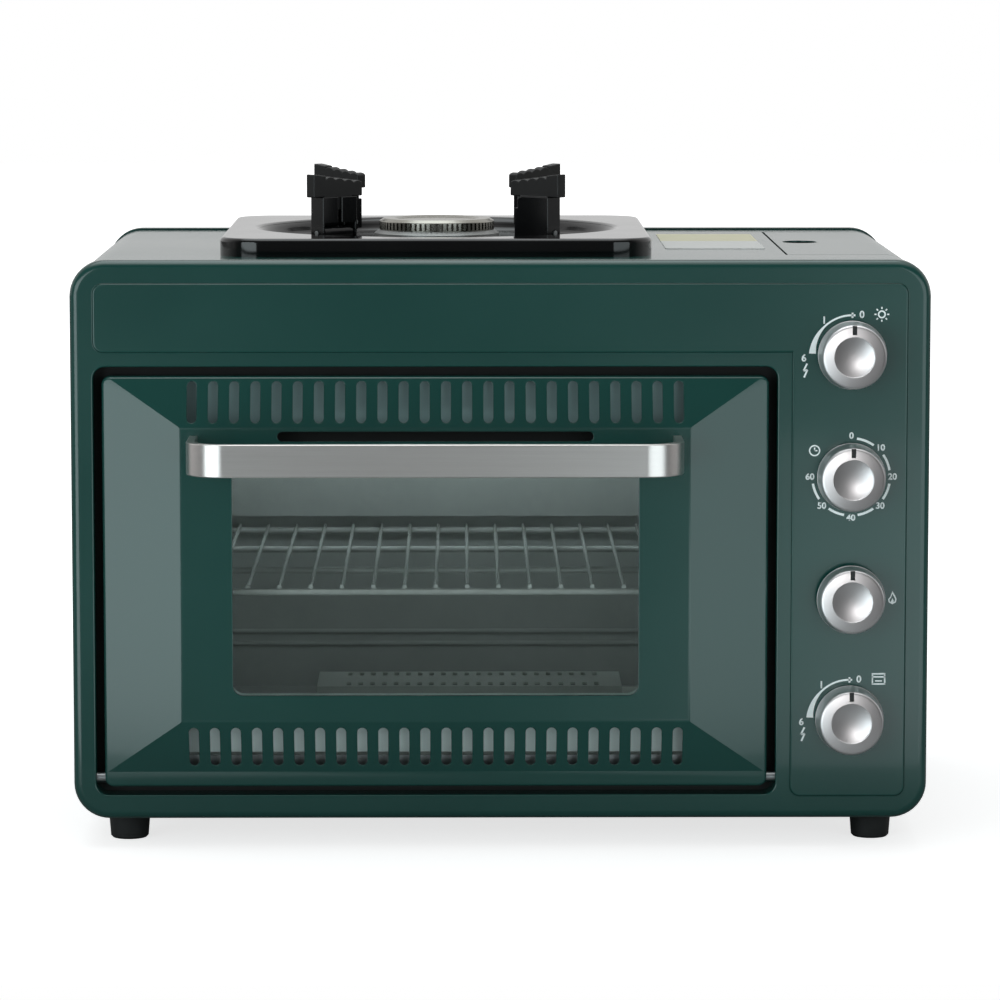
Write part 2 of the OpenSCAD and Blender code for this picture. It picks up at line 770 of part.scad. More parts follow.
// Seal between the skin and the glass
module window_seal() {
    color("dimgray") wall_y(face_y + door_sheet, seal_t) difference() {
        window_outline(glass_grow);
        window_outline(0);
    }
}

// Glass pane of the door
module window_glass() {
    color("lightblue", 0.4) wall_y(glass_y, glass_t) window_outline(glass_grow);
}

// Handle, a flat bar bent back to the door at both ends
module door_handle() {
    color("lightgray") difference() {
        translate([open_x, face_y, handle_low]) linear_extrude(handle_h) difference() {
            round_rect(handle_w, 2 * handle_reach, handle_r);
            round_rect(handle_w - 2 * handle_t, 2 * (handle_reach - handle_t), handle_r - handle_t);
            translate([-handle_w, 0]) square([2 * handle_w, 2 * handle_reach]);
        }
        at_handle_screws() translate([0, 0, -screw_bore])
            cylinder(r = screw_r, h = screw_bore + CUT, $fn = SMALL);
    }
}

// Screws that hold the handle from inside the door
module handle_screws() {
    color("silver") at_handle_screws() {
        translate([0, 0, 1 - screw_bore]) cylinder(r = screw_r, h = screw_bore - 1 + door_sheet, $fn = SMALL);
        translate([0, 0, door_sheet]) cylinder(r = 2 * screw_r, h = screw_head_h, $fn = SMALL);
    }
}

// Rail along the bottom of the door, with a hinge pin at each end and an upstand behind the slots
module door_hinge_rail() {
    rail_x = open_x - door_w / 2 + door_sheet;
    rail_w = door_w - 2 * door_sheet;
    half = min(hinge_pin_r, axis_up - door_sheet - 0.2);
    pin_len = door_sheet + door_gap + sheet + bracket_t;
    upstand_t = 1.5;
    upstand_h = door_lip + 8 - axis_up;
    rail_y = axis_y - hinge_pin_r - 1;
    rail_back = front_y + door_back - 0.2;
    color("gray") {
        intersection() {
            union() {
                translate([rail_x, rail_y, axis_z - half]) cube([rail_w, rail_back - rail_y, 2 * half]);
                translate([rail_x, rail_back - upstand_t, axis_z - half])
                    cube([rail_w, upstand_t, half + upstand_h]);
            }
            wall_y(front_y, door_back) door_outline(door_sheet, 0.5);
        }
        rod_x([rail_x - pin_len, axis_y, axis_z], hinge_pin_r, rail_w + 2 * pin_len);
    }
}

// Brackets behind the panel's lip in which the hinge pins turn
module door_hinge_brackets() {
    color("gray") for (x = [open_left - sheet - bracket_t, open_right + sheet])
        difference() {
            translate([x, front_y + sheet, axis_z - 9]) cube([bracket_t, lip_d - sheet - 3, 18]);
            rod_x([x - CUT, axis_y, axis_z], hinge_pin_r + FIT, bracket_t + 2 * CUT);
        }
}

// Draws a knob with its back at Y zero and its face towards the front, deep from back to face.
module knob(deep) {
    difference() {
        rotate([90, 0, 0]) rotate_extrude($fn = 96) polygon([
            [0, 2], [knob_face_d / 2 - 3, 2], [knob_face_d / 2 - 3, 0], [knob_d / 2, 0], [knob_d / 2, 3],
            [knob_d / 2 - 0.8, 3.6], [knob_face_d / 2, deep - 1.4], [knob_face_d / 2 - 1.2, deep],
            [dish_d / 2 + 0.8, deep], [dish_d / 2, deep - 1], [0, deep - 1]
        ]);
        rod_y([0, knob_front - deep, 0], shaft_r, deep);
        translate([-1.4, -deep - CUT, knob_face_d / 2 - 6]) cube([2.8, 2 + CUT, 8]);
    }
}

// Draws a shaft from inside a knob whose back is at y, to its end in the valve behind the panel.
module shaft(n, y, deep) {
    start = y - deep + knob_front;
    color("silver") rod_y([knob_x, start, knob_z(n)], shaft_r, valve_y + shaft_seat - start);
}

module knob_stove() { color("silver") translate([knob_x, turn_y, knob_z(0)]) knob(turn_deep); }
module knob_timer() { color("silver") translate([knob_x, turn_y, knob_z(1)]) knob(turn_deep); }
module knob_safety() { color("silver") translate([knob_x, push_y, knob_z(2)]) knob(push_deep); }
module knob_oven() { color("silver") translate([knob_x, turn_y, knob_z(3)]) knob(turn_deep); }
module shaft_stove() { shaft(0, turn_y, turn_deep); }
module shaft_timer() { shaft(1, turn_y, turn_deep); }
module shaft_safety() { shaft(2, push_y, push_deep); }
module shaft_oven() { shaft(3, turn_y, turn_deep); }

// Draws the blind bore in which control n's shaft runs.
module shaft_bore(n) {
    rod_y([knob_x, valve_y - CUT, knob_z(n)], shaft_r + FIT, CUT + shaft_seat + button_travel + 2);
}

// Stove valve and pressure regulator, with the collar that the cartridge's neck seats in
module regulator() {
    neck_len = 22;
    neck_r = 13;
    case_r = 19;
    collar_r = 15;
    collar_len = 10;
    seat_r = 11;
    collar_y = hatch_y - 6 - collar_len;
    outlet_x = wall_x + sheet + 2;
    color("silver") difference() {
        union() {
            rod_y([knob_x, valve_y, knob_z(0)], neck_r, neck_len);
            rod_y([knob_x, valve_y + neck_len, knob_z(0)], case_r, collar_y - valve_y - neck_len);
            rod_y([knob_x, collar_y, knob_z(0)], collar_r, collar_len);
            rod_x([outlet_x, outlet_y, mixer_z], pipe_r + 2, knob_x - outlet_x);
        }
        shaft_bore(0);
        rod_y([knob_x, collar_y + 2, knob_z(0)], seat_r, collar_len);
    }
}

// Clockwork of the timer
module timer_body() {
    case_w = 44;
    case_d = 34;
    color("gainsboro") difference() {
        translate([knob_x - case_w / 2, valve_y, knob_z(1) - case_w / 2]) cube([case_w, case_d, case_w]);
        shaft_bore(1);
    }
}

// Flame-safety valve behind the push button
module safety_valve() {
    case_d = 30;
    tail_d = 12;
    color("darkgoldenrod") difference() {
        union() {
            rod_y([knob_x, valve_y, knob_z(2)], 11, case_d);
            rod_y([knob_x, valve_y + case_d, knob_z(2)], 7, tail_d);
        }
        shaft_bore(2);
    }
}

// Oven valve, which reaches down to its outlet at the burner tube's height
module oven_valve() {
    half = valve_w / 2;
    low = min(knob_z(3), tube_z) - half;
    high = max(knob_z(3), tube_z) + half;
    color("darkgoldenrod") difference() {
        union() {
            translate([knob_x - half, valve_y, low]) cube([valve_w, valve_d, high - low]);
            rod_y([knob_x, valve_y + valve_d, tube_z], 2 * pipe_r, valve_nut);
        }
        shaft_bore(3);
    }
}

// Pipe from the oven valve to the burner tube's jet
module oven_gas_pipe() {
    color("goldenrod") {
        pipe([[knob_x, valve_y + valve_d + valve_nut, tube_z], [knob_x, tube_y, tube_z],
            [tube_end + jet_len, tube_y, tube_z]]);
        rod_x([tube_end, tube_y, tube_z], tube_r - 1, jet_len);
    }
}

// Pipe from the regulator to the stove burner's jet
module stove_gas_pipe() {
    color("goldenrod") {
        pipe([[wall_x + sheet + 2, outlet_y, mixer_z], [stove_turn_x, outlet_y, mixer_z],
            [stove_turn_x, tray_y, mixer_z], [mixer_mouth, tray_y, mixer_z]]);
        rod_x([mixer_mouth - jet_len, tray_y, mixer_z], pipe_r + 2, jet_len);
    }
}

// Trough under the hatch that carries the cartridge, with a wall at its front that the neck passes
module cartridge_bay() {
    wall = 1;
    lap = 4;
    end_top = knob_z(0) + 24;
    side_top = knob_z(0) + 6;
    color("lightgray") difference() {
        translate([bay_x, hatch_y - lap, bay_floor]) cube([bay_w, hatch_len + 2 * lap, end_top - bay_floor]);
        translate([bay_x - CUT, hatch_y - lap + wall, bay_floor + wall])
            cube([bay_w - wall + CUT, hatch_len + 2 * (lap - wall), end_top - bay_floor]);
        translate([bay_x - CUT, hatch_y, side_top]) cube([bay_w + 2 * CUT, hatch_len, end_top]);
        rod_y([knob_x, hatch_y - lap - CUT, knob_z(0)], 16, wall + 2 * CUT);
    }
}

// Lid over the cartridge bay, which wraps the body's corner, with its finger hole and lid-side knuckles
module hatch_lid() {
    lid_y = hatch_y + hatch_gap;
    lid_len = hatch_len - 2 * hatch_gap;
    color("darkslategray") {
        difference() {
            intersection() {
                wall_y(lid_y, lid_len) translate([0, mid_z]) difference() {
                    round_rect(body_w - 2 * sheet, body_h - 2 * sheet, corner_r - sheet);
                    round_rect(inner_w, body_h - 4 * sheet, corner_r - 2 * sheet);
                }
                translate([hatch_x + hatch_gap, hatch_y, hinge_z + 1.5]) cube([hatch_w, hatch_len, hatch_drop]);
            }
            translate([hatch_x + finger_inset, hatch_y + finger_run, deck_z - sheet - CUT])
                linear_extrude(2 * sheet + 2 * CUT) slot(finger_w, finger_len);
        }
        for (n = [0, 2, 4])
            lid_knuckle(n, 1);
    }
}

// Draws knuckle n of five along the hatch's hinge. Its tab runs up to the lid, or down where up is -1.
module lid_knuckle(n, up) {
    gap = 0.4;
    tab_h = 12;
    pitch = (hatch_len - 2 * hinge_end) / 5;
    len = pitch - gap;
    y = hatch_y + hinge_end + n * pitch + gap / 2;
    bore = up > 0 ? hatch_pin_r + FIT : hatch_pin_r;
    difference() {
        union() {
            rod_y([hinge_x, y, hinge_z], knuckle_r, len, $fn = SMALL);
            translate([hinge_x - knuckle_r, y, up > 0 ? hinge_z : hinge_z - tab_h])
                cube([knuckle_r + hinge_in - sheet, len, tab_h]);
        }
        rod_y([hinge_x, y - CUT, hinge_z], bore, len + 2 * CUT, $fn = SMALL);
    }
}

// Body-side knuckles of the hatch's hinge and the pin through them all
module hatch_hinge() {
    color("gray") {
        for (n = [1, 3])
            lid_knuckle(n, -1);
        rod_y([hinge_x, hatch_y + hinge_end, hinge_z], hatch_pin_r, hatch_len - 2 * hinge_end, $fn = SMALL);
    }
}

// Square enamelled tray with a rolled rim and a round dish, seated on the body's top
module drip_tray() {
    slope = 5;
    color("black") translate([tray_x, tray_y, deck_z]) {
        sweep_round_rect(tray_w, tray_d, tray_r) {
            intersection() {
                translate([tray_r - rim_r, rim_h - rim_r]) difference() {
                    circle(rim_r);
                    circle(rim_r - tray_sheet);
                }
                translate([tray_r - rim_r, rim_h - rim_r]) square(rim_r);
            }
            translate([tray_r - tray_sheet, 0]) square([tray_sheet, rim_h - rim_r]);
        }
        difference() {
            translate([0, 0, rim_h - tray_sheet]) linear_extrude(tray_sheet)
                round_rect(tray_w - 2 * rim_r, tray_d - 2 * rim_r, tray_r - rim_r);
            translate([0, 0, -CUT]) cylinder(r = dish_r, h = rim_h + 2 * CUT, $fn = 128);
        }
        rotate_extrude($fn = 128) polygon([
            [dish_r, rim_h], [dish_r - slope, dish_floor], [pot_r + 4, dish_floor],
            [pot_r + 2, dish_floor + 2], [pot_r + 2, 0], [pot_r + 4, dish_floor - tray_sheet],
            [dish_r - slope + 0.6, dish_floor - tray_sheet], [dish_r, rim_h - tray_sheet - 0.6]
        ]);
    }
}

// Burner pot that hangs through the tray, joined to the mixing tube
module burner_pot() {
    color("silver") difference() {
        union() {
            translate([tray_x, tray_y, 0]) rotate_extrude($fn = 96) polygon([
                [0, mixer_z - mixer_r - 1], [pot_r - 8, mixer_z - mixer_r - 1], [pot_r - 2, mixer_z],
                [pot_r - 2, deck_z + 1], [pot_r + 1.9, deck_z + dish_floor + 2.2],
                [pot_r + 6, deck_z + dish_floor + 2.2], [pot_r + 6, deck_z + cap_top - tooth_h - 4],
                [cap_d / 2, deck_z + cap_top - tooth_h - 2], [0, deck_z + cap_top - tooth_h - 2]
            ]);
        }
        rod_x([tray_x, tray_y, mixer_z], mixer_r - 1.5, pot_r + CUT);
    }
}

// Burner cap with its band of fine teeth and a domed top
module burner_cap() {
    low = deck_z + cap_top - tooth_h - 2;
    color("darkgoldenrod") translate([tray_x, tray_y, low]) difference() {
        rotate_extrude($fn = 128) polygon([
            [0, 0], [cap_d / 2 - 1, 0], [cap_d / 2 - 1, 0.4], [cap_d / 2, 0.4], [cap_d / 2, tooth_h + 0.4],
            [cap_d / 2 - 2.5, tooth_h + 2], [cap_d / 2 - 9, tooth_h + 2], [cap_d / 2 - 11, tooth_h + 1],
            [0, tooth_h + 1]
        ]);
        for (n = [0:tooth_count - 1])
            rotate(n * 360 / tooth_count) translate([cap_d / 2 - 3, -0.75, 0.6]) cube([4, 1.5, tooth_h - 0.6]);
    }
}

// Mixing tube from the jet to the burner pot, with a bell mouth
module mixing_tube() {
    start = tray_x + pot_r - 2;
    wall = 1.5;
    flare = 3;
    bell_len = 12;
    bell_x = mixer_mouth - bell_len;
    color("silver") difference() {
        union() {
            rod_x([start, tray_y, mixer_z], mixer_r, bell_x - start);
            translate([bell_x, tray_y, mixer_z]) rotate([0, 90, 0])
                cylinder(r1 = mixer_r, r2 = mixer_r + flare, h = bell_len);
        }
        rod_x([start - CUT, tray_y, mixer_z], mixer_r - wall, bell_x - start + 2 * CUT);
        translate([bell_x - 0.01, tray_y, mixer_z]) rotate([0, 90, 0])
            cylinder(r1 = mixer_r - wall, r2 = mixer_r + flare - wall + 0.3, h = bell_len + 0.1);
    }
}

// Spark electrode beside the burner
module igniter() {
    color("white") translate([tray_x, tray_y, 0]) rotate(120) translate([cap_d / 2 + 8, 0, 0]) {
        translate([0, 0, dish_z]) cylinder(r = 3, h = 7, $fn = SMALL);
        translate([0, 0, dish_z + 7]) cylinder(r = 0.9, h = 4, $fn = SMALL);
    }
}

// Places its children in the frame of support n, with X outwards from the burner and Z zero at the pivot.
module at_support(n) {
    translate([tray_x, tray_y, pivot_z]) rotate(n * 90 - 45) translate([support_ring, 0, 0]) children();
}

// Bases on the tray's dish, each with the bore that holds its pivot pin
module support_bases() {
    len = leg_w - 2 * leg_t - 2;
    color("dimgray") for (n = [0:3])
        at_support(n) difference() {
            union() {
                rod_x([-len / 2, 0, 0], 4.2, len);
                translate([-len / 2, -3.5, -pivot_rise]) cube([len, 7, pivot_rise]);
            }
            rod_x([-len / 2 - CUT, 0, 0], pivot_r, len + 2 * CUT);
        }
}

// Pivot pins of the four supports
module support_pins() {
    color("silver") for (n = [0:3])
        at_support(n) rod_x([-leg_w / 2 - 1, 0, 0], pivot_r, leg_w + 2);
}

// Draws one leg: a sheet folded to a face plate, two flanges and two lips that leave a slit between them,
// with a round lug about the pin.
module support_leg() {
    depth = leg_face + lug_r;
    low = 4;
    shoulder = 7;
    lip_low = 6;
    color("dimgray") difference() {
        union() {
            for (x = [-leg_w / 2, leg_w / 2 - leg_t])
                translate([x, 0, 0]) {
                    rod_x([0, 0, 0], lug_r, leg_t);
                    translate([0, -leg_face, -low]) cube([leg_t, leg_face, low]);
                    translate([0, -leg_face, 0]) cube([leg_t, depth, leg_top]);
                }
            for (x = [-leg_w / 2, leg_slit / 2])
                translate([x, lug_r - leg_t, lip_low])
                    cube([(leg_w - leg_slit) / 2, leg_t, leg_top - lip_low]);
            translate([0, -leg_face, 0]) rotate([-90, 0, 0]) linear_extrude(leg_t) difference() {
                translate([-leg_w / 2, -leg_top]) square([leg_w, leg_top + low]);
                translate([-leg_w / 2, -leg_top]) difference() {
                    square(shoulder);
                    translate([shoulder, shoulder]) circle(shoulder);
                }
            }
        }
        rod_x([-leg_w / 2 - CUT, 0, 0], pivot_r + FIT, leg_w + 2 * CUT);
        translate([-leg_w / 2 - CUT, -leg_face - CUT, leg_top - shoulder])
            cube([leg_t + 2 * CUT, leg_t + 2 * CUT, shoulder + CUT]);
    }
}

// Draws one toothed head: its top falls inwards in four round teeth and a tongue seats it in the leg.
module support_head() {
    outer = head_len / 2;
    top = deck_z + head_top - pivot_z;
    teeth = 4;
    pitch = head_len * 3 / 4 / teeth;
    tooth_r = pitch * 0.75;
    tongue = 8;
    color("black") {
        translate([0, head_t / 2, 0]) rotate([90, 0, 0]) linear_extrude(head_t) intersection() {
            translate([-outer, leg_top]) square([head_len, top - leg_top]);
            union() {
                polygon([
                    [-outer, leg_top], [outer, leg_top], [outer, top], [outer / 2, top - head_fall / 4],
                    [outer / 2, top - head_fall / 4 - tooth_r / 2], [-outer, top - head_fall - tooth_r / 2]
                ]);
                for (n = [0:teeth - 1]) {
                    fall = head_fall * (n + 2) / (teeth + 1);
                    translate([outer / 2 - (n + 0.5) * pitch, top - fall - tooth_r]) circle(tooth_r, $fn = SMALL);
                }
            }
        }
        translate([-leg_w / 2 + leg_t + 1, -leg_face + leg_t, leg_top - tongue])
            cube([leg_w - 2 * leg_t - 2, leg_face + lug_r - 2 * leg_t, tongue]);
    }
}

module support_leg_1() { at_support(0) support_leg(); }
module support_leg_2() { at_support(1) support_leg(); }
module support_leg_3() { at_support(2) support_leg(); }
module support_leg_4() { at_support(3) support_leg(); }
module support_head_1() { at_support(0) support_head(); }
module support_head_2() { at_support(1) support_head(); }
module support_head_3() { at_support(2) support_head(); }
module support_head_4() { at_support(3) support_head(); }

front_panel();
body_shell();
base_plate();
back_panel();
partition();
feet();
case_screws();
oven_liner();
rack_guides();
flue_baffle();
wire_rack();
burner_tube();
flame_spreader();
door_skin();
door_inner();
window_seal();
window_glass();
door_handle();
handle_screws();
door_hinge_rail();
door_hinge_brackets();
knob_stove();
knob_timer();
knob_safety();
knob_oven();
shaft_stove();
shaft_timer();
shaft_safety();
shaft_oven();
regulator();
timer_body();
safety_valve();
oven_valve();
oven_gas_pipe();
stove_gas_pipe();
cartridge_bay();
hatch_lid();
hatch_hinge();
drip_tray();
burner_pot();
burner_cap();
mixing_tube();
igniter();
support_bases();
support_pins();
support_leg_1();
support_leg_2();
support_leg_3();
support_leg_4();
support_head_1();
support_head_2();
support_head_3();
support_head_4();
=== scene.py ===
from math import atan2, cos, pi, radians, sin
import bmesh
import bpy
from mathutils import Matrix, Vector


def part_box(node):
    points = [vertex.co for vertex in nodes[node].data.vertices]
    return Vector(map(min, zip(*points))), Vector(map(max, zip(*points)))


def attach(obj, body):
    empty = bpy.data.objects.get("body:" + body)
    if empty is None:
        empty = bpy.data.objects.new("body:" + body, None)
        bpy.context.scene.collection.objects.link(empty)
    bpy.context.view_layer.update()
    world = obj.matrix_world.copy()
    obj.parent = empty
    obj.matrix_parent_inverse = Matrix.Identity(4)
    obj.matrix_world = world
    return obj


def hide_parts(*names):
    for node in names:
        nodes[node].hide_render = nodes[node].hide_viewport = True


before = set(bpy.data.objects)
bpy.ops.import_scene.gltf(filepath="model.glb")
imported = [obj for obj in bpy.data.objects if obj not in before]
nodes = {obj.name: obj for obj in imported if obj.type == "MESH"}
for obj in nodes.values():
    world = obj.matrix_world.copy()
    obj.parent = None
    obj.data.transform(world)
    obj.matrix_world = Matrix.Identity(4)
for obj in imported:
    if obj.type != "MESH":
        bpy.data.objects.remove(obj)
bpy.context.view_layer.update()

MM = 0.001

# Front panel: one pressing of sheet steel with a rolled edge, a raised field over and beside the door, and a
# lip turned in round the oven's opening. It is stove-enamelled dark green, and its folds are rounded here.


def colour(code):
    """Turns an sRGB hex code to a linear colour."""
    parts = [int(code[n:n + 2], 16) / 255 for n in (0, 2, 4)]
    return [c / 12.92 if c <= 0.04045 else ((c + 0.055) / 1.055) ** 2.4 for c in parts] + [1]


def add(tree, kind, inputs, **settings):
    """Adds a shader node with its settings, and gives each input named a value or a link."""
    made = tree.nodes.new("ShaderNode" + kind)
    for name, value in settings.items():
        setattr(made, name, value)
    for name, value in inputs.items():
        if isinstance(value, bpy.types.NodeSocket):
            tree.links.new(value, made.inputs[name])
        else:
            made.inputs[name].default_value = value
    return made.outputs


def new_material(name):
    """Starts an empty material, and gives its node tree and the place on the object that patterns read."""
    made = bpy.data.materials.new(name)
    made.use_nodes = True
    made.node_tree.nodes.clear()
    return made, made.node_tree, add(made.node_tree, "TexCoord", {})["Object"]


def green_enamel():
    """Stove enamel, sprayed on the steel and baked: a deep gloss with slight orange peel and soft waves."""
    made, tree, place = new_material("green_stove_enamel")
    cloud = add(tree, "TexNoise", {"Vector": place, "Scale": 1 / (110 * MM), "Detail": 3})["Fac"]
    wave = add(tree, "TexNoise", {"Vector": place, "Scale": 1 / (60 * MM), "Detail": 0})["Fac"]
    peel = add(tree, "TexNoise", {"Vector": place, "Scale": 1 / (1.7 * MM), "Detail": 2})["Fac"]
    base = add(tree, "Mix", {0: cloud, 6: colour("0d3a35"), 7: colour("12443e")}, data_type="RGBA")[2]
    rough = add(tree, "MapRange", {"Value": cloud, "To Min": 0.2, "To Max": 0.27})[0]
    bent = add(tree, "Bump", {"Height": wave, "Distance": 0.03 * MM})[0]
    skin = add(tree, "Bump", {"Height": peel, "Distance": 0.004 * MM, "Normal": bent})[0]
    shader = add(tree, "BsdfPrincipled", {
        "Base Color": base, "Roughness": rough, "IOR": 1.52, "Normal": skin,
        "Coat Weight": 0.3, "Coat Roughness": 0.06,
    })[0]
    add(tree, "OutputMaterial", {"Surface": shader})
    return made


def clear():
    """Leaves edit mode and deselects everything."""
    if bpy.context.object and bpy.context.object.mode == "EDIT":
        bpy.ops.object.mode_set(mode="OBJECT")
    bpy.ops.object.select_all(action="DESELECT")


def take(piece):
    """Makes the piece the only one selected, and the active one."""
    clear()
    piece.select_set(True)
    bpy.context.view_layer.objects.active = piece
    return piece


def copy_sheet(node, name):
    """Copies a CAD sheet and merges its triangles to whole faces, so that its folds can be rounded."""
    piece = bpy.data.objects.new(name, nodes[node].data.copy())
    piece.data.name = name
    bpy.context.scene.collection.objects.link(piece)
    take(piece)
    bpy.ops.mesh.customdata_custom_splitnormals_clear()
    bpy.ops.object.mode_set(mode="EDIT")
    bpy.ops.mesh.select_all(action="SELECT")
    bpy.ops.mesh.remove_doubles(threshold=0.002 * MM)
    bpy.ops.mesh.dissolve_limited(angle_limit=radians(0.3))
    return take(piece)


def pick(piece, kind, test):
    """Selects, in edit mode, the verts, edges or faces of the piece that pass the test."""
    take(piece)
    bpy.ops.object.mode_set(mode="EDIT")
    bpy.ops.mesh.select_mode(type=kind)
    bpy.ops.mesh.select_all(action="DESELECT")
    mesh = bmesh.from_edit_mesh(piece.data)
    mesh.normal_update()
    items = {"VERT": mesh.verts, "EDGE": mesh.edges, "FACE": mesh.faces}[kind]
    for item in [item for item in items if test(item)]:
        item.select_set(True)
    bmesh.update_edit_mesh(piece.data)


def middle(item):
    """Centre of an edge or a face."""
    return sum((v.co for v in item.verts), Vector()) / len(item.verts)


def is_fold(edge, least=50):
    """True for an edge where the surface turns by more than the least angle."""
    return len(edge.link_faces) == 2 and edge.calc_face_angle() > radians(least)


NEAR = 0.1 * MM
SAME = 0.01 * MM


def at_depth(edge, y, within=NEAR):
    """True for an edge that lies at one depth, from front to back."""
    return all(abs(v.co.y - y) < within for v in edge.verts)


def round_folds(piece, width, test, steps=3):
    """Rounds the edges that pass the test to about the width."""
    pick(piece, "EDGE", test)
    bpy.ops.mesh.bevel(offset=width, segments=steps, affect="EDGES", clamp_overlap=False, loop_slide=False)
    return take(piece)


def modify(piece, kind, **settings):
    """Adds a modifier with its settings and applies it."""
    take(piece)
    made = piece.modifiers.new(kind, kind)
    for name, value in settings.items():
        setattr(made, name, value)
    bpy.ops.object.modifier_apply(modifier=made.name)


def smooth(piece, angle=32):
    """Smooths the round faces and keeps the flat ones flat."""
    take(piece)
    bpy.ops.object.shade_smooth_by_angle(angle=radians(angle))
    modify(piece, "WEIGHTED_NORMAL", keep_sharp=True)


def fit(piece, body, slot, material, *solids):
    """Gives a piece its finish, sets it on its body and puts it in place of its CAD solids."""
    piece.data.materials.clear()
    piece.data.materials.append(material)
    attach(piece, body)
    if solids:
        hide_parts(*solids)


enamel = green_enamel()
field_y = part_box("front_panel")[0].y
field_rise = 1.5 * MM
face_y = field_y + field_rise
panel_bend, tight_bend, hole_reach = 1.1 * MM, 0.5 * MM, 12 * MM
shafts = [sum(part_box("knob_" + n), Vector()) / 2 for n in ("stove", "timer", "safety", "oven")]
for shaft in shafts:
    shaft.y = field_y


def is_outer(edge):
    """True where the panel's face meets steel that is turned back from it."""
    turned_back = min(edge.link_faces, key=lambda face: abs(face.normal.y))
    return turned_back.calc_center_median().y > face_y


def off_shafts(edge):
    """True for an edge that isn't part of a hole for a shaft."""
    return all((middle(edge) - shaft).length > hole_reach for shaft in shafts)


panel = copy_sheet("front_panel", "front_pressing")
round_folds(panel, panel_bend, lambda edge: at_depth(edge, face_y) and is_fold(edge) and is_outer(edge))
round_folds(panel, panel_bend, lambda edge: at_depth(edge, field_y) and is_fold(edge) and off_shafts(edge), 4)
round_folds(panel, tight_bend, lambda edge: at_depth(edge, face_y) and is_fold(edge))
smooth(panel)
fit(panel, "body", "green_enamel", enamel, "front_panel")

# Wrapped shell, back panel and hatch lid: bent from the same sheet and enamelled with it. The cut edges are
# broken by hand before the enamel, so they catch a thin line of light.
cut_edge = 0.3 * MM
for node, name, body in (("body_shell", "outer_wrap", "body"), ("back_panel", "back_pressing", "body"),
                         ("hatch_lid", "hatch_cover", "hatch")):
    sheet = copy_sheet(node, name)
    round_folds(sheet, cut_edge, is_fold, steps=2)
    smooth(sheet)
    fit(sheet, body, "green_enamel", enamel, node)

# Door skin: drawn from 1 mm sheet to a flat raised middle with mitred slopes, then punched for the window,
# the long vent and two rows of slots. The outer corners are rounded, and every bend has a small radius.


def cube_between(name, low, high):
    """Adds a block between two corners."""
    clear()
    bpy.ops.mesh.primitive_cube_add(size=1, location=(low + high) / 2, scale=high - low)
    bpy.ops.object.transform_apply()
    made = bpy.context.object
    made.name = made.data.name = name
    return made


def runs_back(edge):
    """True for an edge that runs from front to back."""
    return abs((edge.verts[0].co - edge.verts[1].co).normalized().y) > 0.9


def faces_front(face):
    """True for a face that looks to the front."""
    return face.normal.y < -0.9


def punch(x, z, width, height, radius):
    """Makes a cutter with round corners that goes right through the door skin."""
    half = Vector((width / 2, 0, height / 2))
    front = Vector((x, skin_low.y - 2 * MM, z))
    back = Vector((x, skin_high.y + 4 * MM, z))
    made = cube_between("punch", front - half, back + half)
    pick(made, "EDGE", runs_back)
    bpy.ops.mesh.bevel(offset=radius, segments=8, affect="EDGES", clamp_overlap=False)
    return take(made)


def join(pieces, name):
    """Joins pieces to one."""
    clear()
    for piece in pieces:
        piece.select_set(True)
    bpy.context.view_layer.objects.active = pieces[0]
    bpy.ops.object.join()
    pieces[0].name = pieces[0].data.name = name
    return pieces[0]


skin_low, skin_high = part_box("door_skin")
sheet_t, door_corner, door_rise = 1 * MM, 5 * MM, 11.5 * MM
side_band, top_band, low_band, lip = 45.8 * MM, 29.3 * MM, 31.5 * MM, 9 * MM
flat_bend, edge_bend = 1.2 * MM, 2 * MM
edge_y = skin_low.y + door_rise
door_x = (skin_low.x + skin_high.x) / 2
lip_z = skin_low.z + lip
flat_low = lip_z + low_band
flat_high = skin_high.z - top_band
flat_half = (skin_high.x - skin_low.x) / 2 - side_band
skin = cube_between("door_pressing", Vector((skin_low.x, edge_y, skin_low.z)), skin_high)
pick(skin, "EDGE", runs_back)
bpy.ops.mesh.bevel(offset=door_corner, segments=6, affect="EDGES")
bpy.ops.mesh.select_all(action="SELECT")
bpy.ops.mesh.bisect(plane_co=(0, 0, lip_z), plane_no=(0, 0, 1))
pick(skin, "FACE", lambda face: faces_front(face) and middle(face).z > lip_z + MM)
bpy.ops.mesh.extrude_region_move(TRANSFORM_OT_translate={"value": (0, -door_rise, 0)})

# The four round corners of the drawn face are each brought to one corner of the flat, which gives the mitres.
corner_reach = door_corner + MM
for side in (-1, 1):
    corner_x = door_x + side * (skin_high.x - door_x)
    for corner_z, flat_z in ((lip_z, flat_low), (skin_high.z, flat_high)):
        pick(skin, "VERT", lambda v: v.co.y < edge_y - MM and abs(v.co.x - corner_x) < corner_reach
             and abs(v.co.z - corner_z) < corner_reach)
        bpy.context.scene.cursor.location = (door_x + side * flat_half, skin_low.y, flat_z)
        bpy.ops.mesh.merge(type="CURSOR")
round_folds(skin, flat_bend, lambda edge: at_depth(edge, skin_low.y, SAME), 4)
round_folds(skin, edge_bend, lambda edge: is_fold(edge) and at_depth(edge, edge_y, SAME), 5)
pick(skin, "FACE", lambda face: face.normal.y > 0.9)
bpy.ops.mesh.delete(type="FACE")
modify(skin, "SOLIDIFY", thickness=sheet_t, offset=-1, use_even_offset=True)

